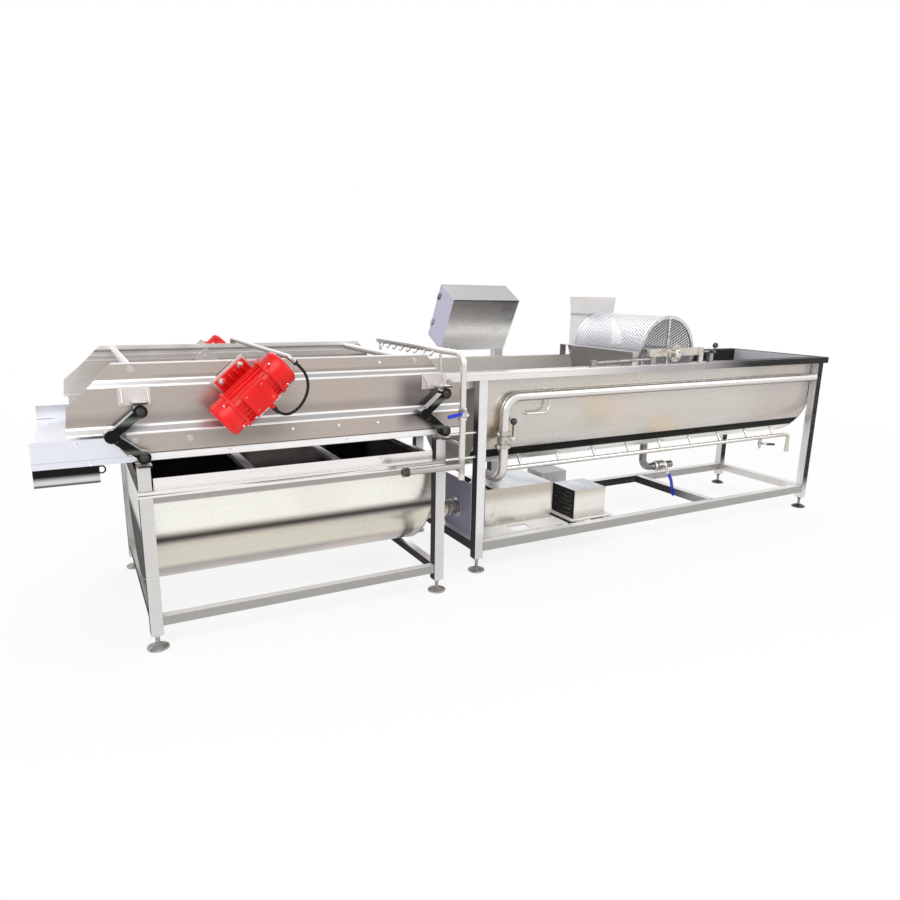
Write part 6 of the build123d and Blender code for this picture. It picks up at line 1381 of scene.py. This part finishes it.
class LINE_OT_cabinet(bpy.types.Operator):
    """Makes the control cabinet's seal, glands, buttons, lock and hinge caps"""

    bl_idname = "line.cabinet"
    bl_label = "Control cabinet"

    def execute(self, context):
        out = (cabinet_point(0, 0, 1) - cabinet_point(0, 0, 0)).normalized()
        down = (cabinet_point(0, 1, 0) - cabinet_point(0, 0, 0)).normalized()
        bm = bmesh.new()
        wide, high, inset, strip = CABINET_WIDTH, CABINET_HEIGHT, 0.006, 0.009
        turn = Matrix((X_AXIS, down, out)).transposed().to_4x4()
        for along, drop, width, height in ((wide / 2, inset, wide - 0.003, strip),
                                           (wide / 2, high - inset, wide - 0.003, strip),
                                           (inset, high / 2, strip, high - 0.003),
                                           (wide - inset, high / 2, strip, high - 0.003)):
            brick(bm, cabinet_point(along, drop, 0.1775), (width, height, 0.0008), turn, 0.0002)
        piece("door_seal", bm, "black", "frame")
        bm = bmesh.new()
        for along in (0.09, 0.16, 0.23):
            base = cabinet_point(along, CABINET_HEIGHT, 0.085)
            hexagon(bm, base, down, 0.0145, 0.007)
            turned_shape(bm, [(0.007, 0.0108), (0.015, 0.0108), (0.018, 0.0092), (0.021, 0.0070),
                              (0.021, 0)], base, down, 24)
        piece("cabinet_glands", bm, "black", "frame")
        self.buttons(out)
        bm = bmesh.new()
        lock = cabinet_point(CABINET_WIDTH - 0.030, CABINET_HEIGHT / 2, 0.198)
        turned_shape(bm, [(0, 0.0128), (0.001, 0.0136), (0.0045, 0.0130), (0.006, 0.0105), (0.006, 0.004),
                          (0.003, 0.0038), (0.003, 0)], lock - out * 0.002, out, 28)
        piece("door_lock", bm, "bright", "door")
        bm = bmesh.new()
        for place in (0.052, 0.235):
            for drop, way in ((place, -1), (place + 0.044, 1)):
                start = cabinet_point(-0.00605, drop, 0.1775)
                turned_shape(bm, [(0, 0.0062), (0.0012, 0.0062), (0.0030, 0.0040), (0.0036, 0)],
                             start, down * way, 20)
        piece("hinge_caps", bm, "bright", "frame")
        return {"FINISHED"}

    def buttons(self, out):
        """A mushroom stop head, a domed start head, and their bezels."""
        face = CABINET_DEPTH
        stop = cabinet_point(CABINET_WIDTH / 2 - 0.045, 0.090, face)
        start = cabinet_point(CABINET_WIDTH / 2 + 0.045, 0.090, face)
        bm = bmesh.new()
        turned_shape(bm, [(-0.014, 0), (-0.014, 0.0138), (0.0097, 0.0138), (0.0099, 0.0185),
                          (0.0115, 0.0200), (0.0148, 0.0200), (0.0180, 0.0180), (0.0197, 0.0130),
                          (0.0204, 0.0070), (0.0205, 0)], stop, out, 40)
        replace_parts(piece("stop_head", bm, "stop", "stop_push"), "stop_button")
        bm = bmesh.new()
        turned_shape(bm, [(-0.014, 0), (-0.014, 0.0138), (0.0045, 0.0138), (0.0060, 0.0120), (0.0063, 0)],
                     start, out, 40)
        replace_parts(piece("start_head", bm, "start", "start_push"), "start_button")
        bm = bmesh.new()
        for place in (stop, start):
            turned_shape(bm, [(0.0002, 0.0146), (0.0002, 0.0190), (0.0022, 0.0186), (0.0034, 0.0172),
                              (0.0034, 0.0146), (0.0002, 0.0146)], place, out, 40)
        piece("button_bezels", bm, "bright", "door")


class LINE_OT_drive(bpy.types.Operator):
    """Makes the drum drive column's access panel, screws and vents"""

    bl_idname = "line.drive"
    bl_label = "Drum drive"

    def execute(self, context):
        bm = bmesh.new()
        brick(bm, (DRUM.x - 0.1108, 0.390, 1.235), (0.0016, 0.120, 0.150), None, 0.0006)
        piece("drive_panel", bm, "drive", "frame")
        bm = bmesh.new()
        for y in (0.338, 0.442):
            for z in (1.170, 1.300):
                screw(bm, (DRUM.x - 0.1115, y, z), -X_AXIS, 0.0045, 0.003)
        for y in (0.325, 0.455):
            for way in (-1, 1):
                screw(bm, (DRUM.x + way * 0.110, y, 1.100), X_AXIS * way, 0.005, 0.0035)
        piece("drive_screws", bm, "bright", "frame")
        bm = bmesh.new()
        for index in range(7):
            brick(bm, (DRUM.x, 0.4805, 1.185 + index * 0.018), (0.110, 0.0022, 0.006), None, 0.0007)
        piece("drive_vents", bm, "black", "frame")
        return {"FINISHED"}


class LINE_OT_stage(bpy.types.Operator):
    """Sets the floor, the lamps and the white surroundings"""

    bl_idname = "line.stage"
    bl_label = "Stage"

    def execute(self, context):
        bm = bmesh.new()
        bmesh.ops.create_grid(bm, x_segments=2, y_segments=2, size=30)
        mesh = bpy.data.meshes.new("floor")
        bm.to_mesh(mesh)
        bm.free()
        floor = bpy.data.objects.new("floor", mesh)
        context.scene.collection.objects.link(floor)
        finish = Finish("floor")
        path = finish.node("ShaderNodeLightPath")
        seen = finish.math("MAXIMUM", Number(finish, path.outputs["Is Camera Ray"]),
                           Number(finish, path.outputs["Is Glossy Ray"]))
        finish.put(finish.shader.inputs["Base Color"], tuple(colours().backdrop))
        finish.put(finish.shader.inputs["Roughness"], 0.9)
        white = finish.node("ShaderNodeEmission", None, {"Color": (1, 1, 1), "Strength": 1.0})
        x, y = finish.place()[:2]
        away = finish.step(finish.math("SQRT", x * x + y * y), 3.2, 7.0)
        mixed = finish.node("ShaderNodeMixShader", None, {0: seen * (0.84 + away * 0.16)})
        finish.link(finish.shader.outputs[0], mixed.inputs[1])
        finish.link(white.outputs[0], mixed.inputs[2])
        finish.link(mixed.outputs[0], finish.output.inputs["Surface"])
        mesh.materials.append(finish.material)
        self.lamps(context)
        self.world(context)
        context.scene.view_settings.view_transform = "Standard"
        return {"FINISHED"}

    def lamps(self, context):
        """Large soft lamps: a key from the upper left front, a fill from the right, one behind."""
        for name, place, size, power in (("key", (-3.6, -4.2, 4.6), 3.6, 150),
                                         ("fill", (4.2, -3.8, 3.2), 3.2, 60),
                                         ("back", (0.5, 4.4, 4.2), 3.6, 70)):
            data = bpy.data.lights.new(name, "AREA")
            data.shape = "SQUARE"
            data.size = size
            data.energy = power
            lamp = bpy.data.objects.new(name, data)
            context.scene.collection.objects.link(lamp)
            lamp.location = place
            aim = Vector((0, 0, 0.7)) - Vector(place)
            lamp.rotation_euler = aim.to_track_quat("-Z", "Y").to_euler()

    def world(self, context):
        """White for the view, reflections and glass; a plain level for the rest."""
        world = bpy.data.worlds.new("surroundings")
        context.scene.world = world
        world.use_nodes = True
        tree = world.node_tree
        tree.nodes.clear()
        output = tree.nodes.new("ShaderNodeOutputWorld")
        path = tree.nodes.new("ShaderNodeLightPath")
        plain = tree.nodes.new("ShaderNodeBackground")
        plain.inputs["Strength"].default_value = 0.72
        white = tree.nodes.new("ShaderNodeBackground")
        for light in (plain, white):
            light.inputs["Color"].default_value = (1, 1, 1, 1)
        mix = tree.nodes.new("ShaderNodeMixShader")
        total = path.outputs["Is Camera Ray"]
        for name in ("Is Glossy Ray", "Is Transmission Ray"):
            add = tree.nodes.new("ShaderNodeMath")
            add.operation = "MAXIMUM"
            tree.links.new(total, add.inputs[0])
            tree.links.new(path.outputs[name], add.inputs[1])
            total = add.outputs[0]
        tree.links.new(total, mix.inputs[0])
        tree.links.new(plain.outputs[0], mix.inputs[1])
        tree.links.new(white.outputs[0], mix.inputs[2])
        tree.links.new(mix.outputs[0], output.inputs["Surface"])


PIECE_STEPS = ("camera", "cable", "finishes", "drum", "stands", "tanks", "motors", "screen", "valves",
               "covers", "cabinet", "drive", "stage")


class LINE_PT_panel(bpy.types.Panel):
    """Lists the line's steps and sizes in the sidebar"""

    bl_idname = "LINE_PT_panel"
    bl_label = "Washing Line"
    bl_space_type = "VIEW_3D"
    bl_region_type = "UI"
    bl_category = "Washing Line"

    def draw(self, context):
        for step in PIECE_STEPS:
            self.layout.operator(f"line.{step}")
        for group in (context.scene.line_sizes, context.scene.line_colours):
            for key in group.bl_rna.properties.keys():
                if key not in ("rna_type", "name"):
                    self.layout.prop(group, key)


CLASSES = (LineSizes, LineColours, LINE_OT_camera, LINE_OT_cable, LINE_OT_finishes, LINE_OT_drum,
           LINE_OT_stands, LINE_OT_tanks, LINE_OT_motors, LINE_OT_screen, LINE_OT_valves, LINE_OT_covers,
           LINE_OT_cabinet, LINE_OT_drive, LINE_OT_stage, LINE_PT_panel)


def register():
    """Registers the classes and the scene's settings."""
    for kind in CLASSES:
        bpy.utils.register_class(kind)
    bpy.types.Scene.line_sizes = PointerProperty(type=LineSizes)
    bpy.types.Scene.line_colours = PointerProperty(type=LineColours)


def unregister():
    """Takes the classes and settings away again."""
    del bpy.types.Scene.line_colours
    del bpy.types.Scene.line_sizes
    for kind in reversed(CLASSES):
        bpy.utils.unregister_class(kind)


def main():
    """Builds every piece in order."""
    register()
    for step in PIECE_STEPS:
        getattr(bpy.ops.line, step)()


if __name__ == "__main__":
    main()
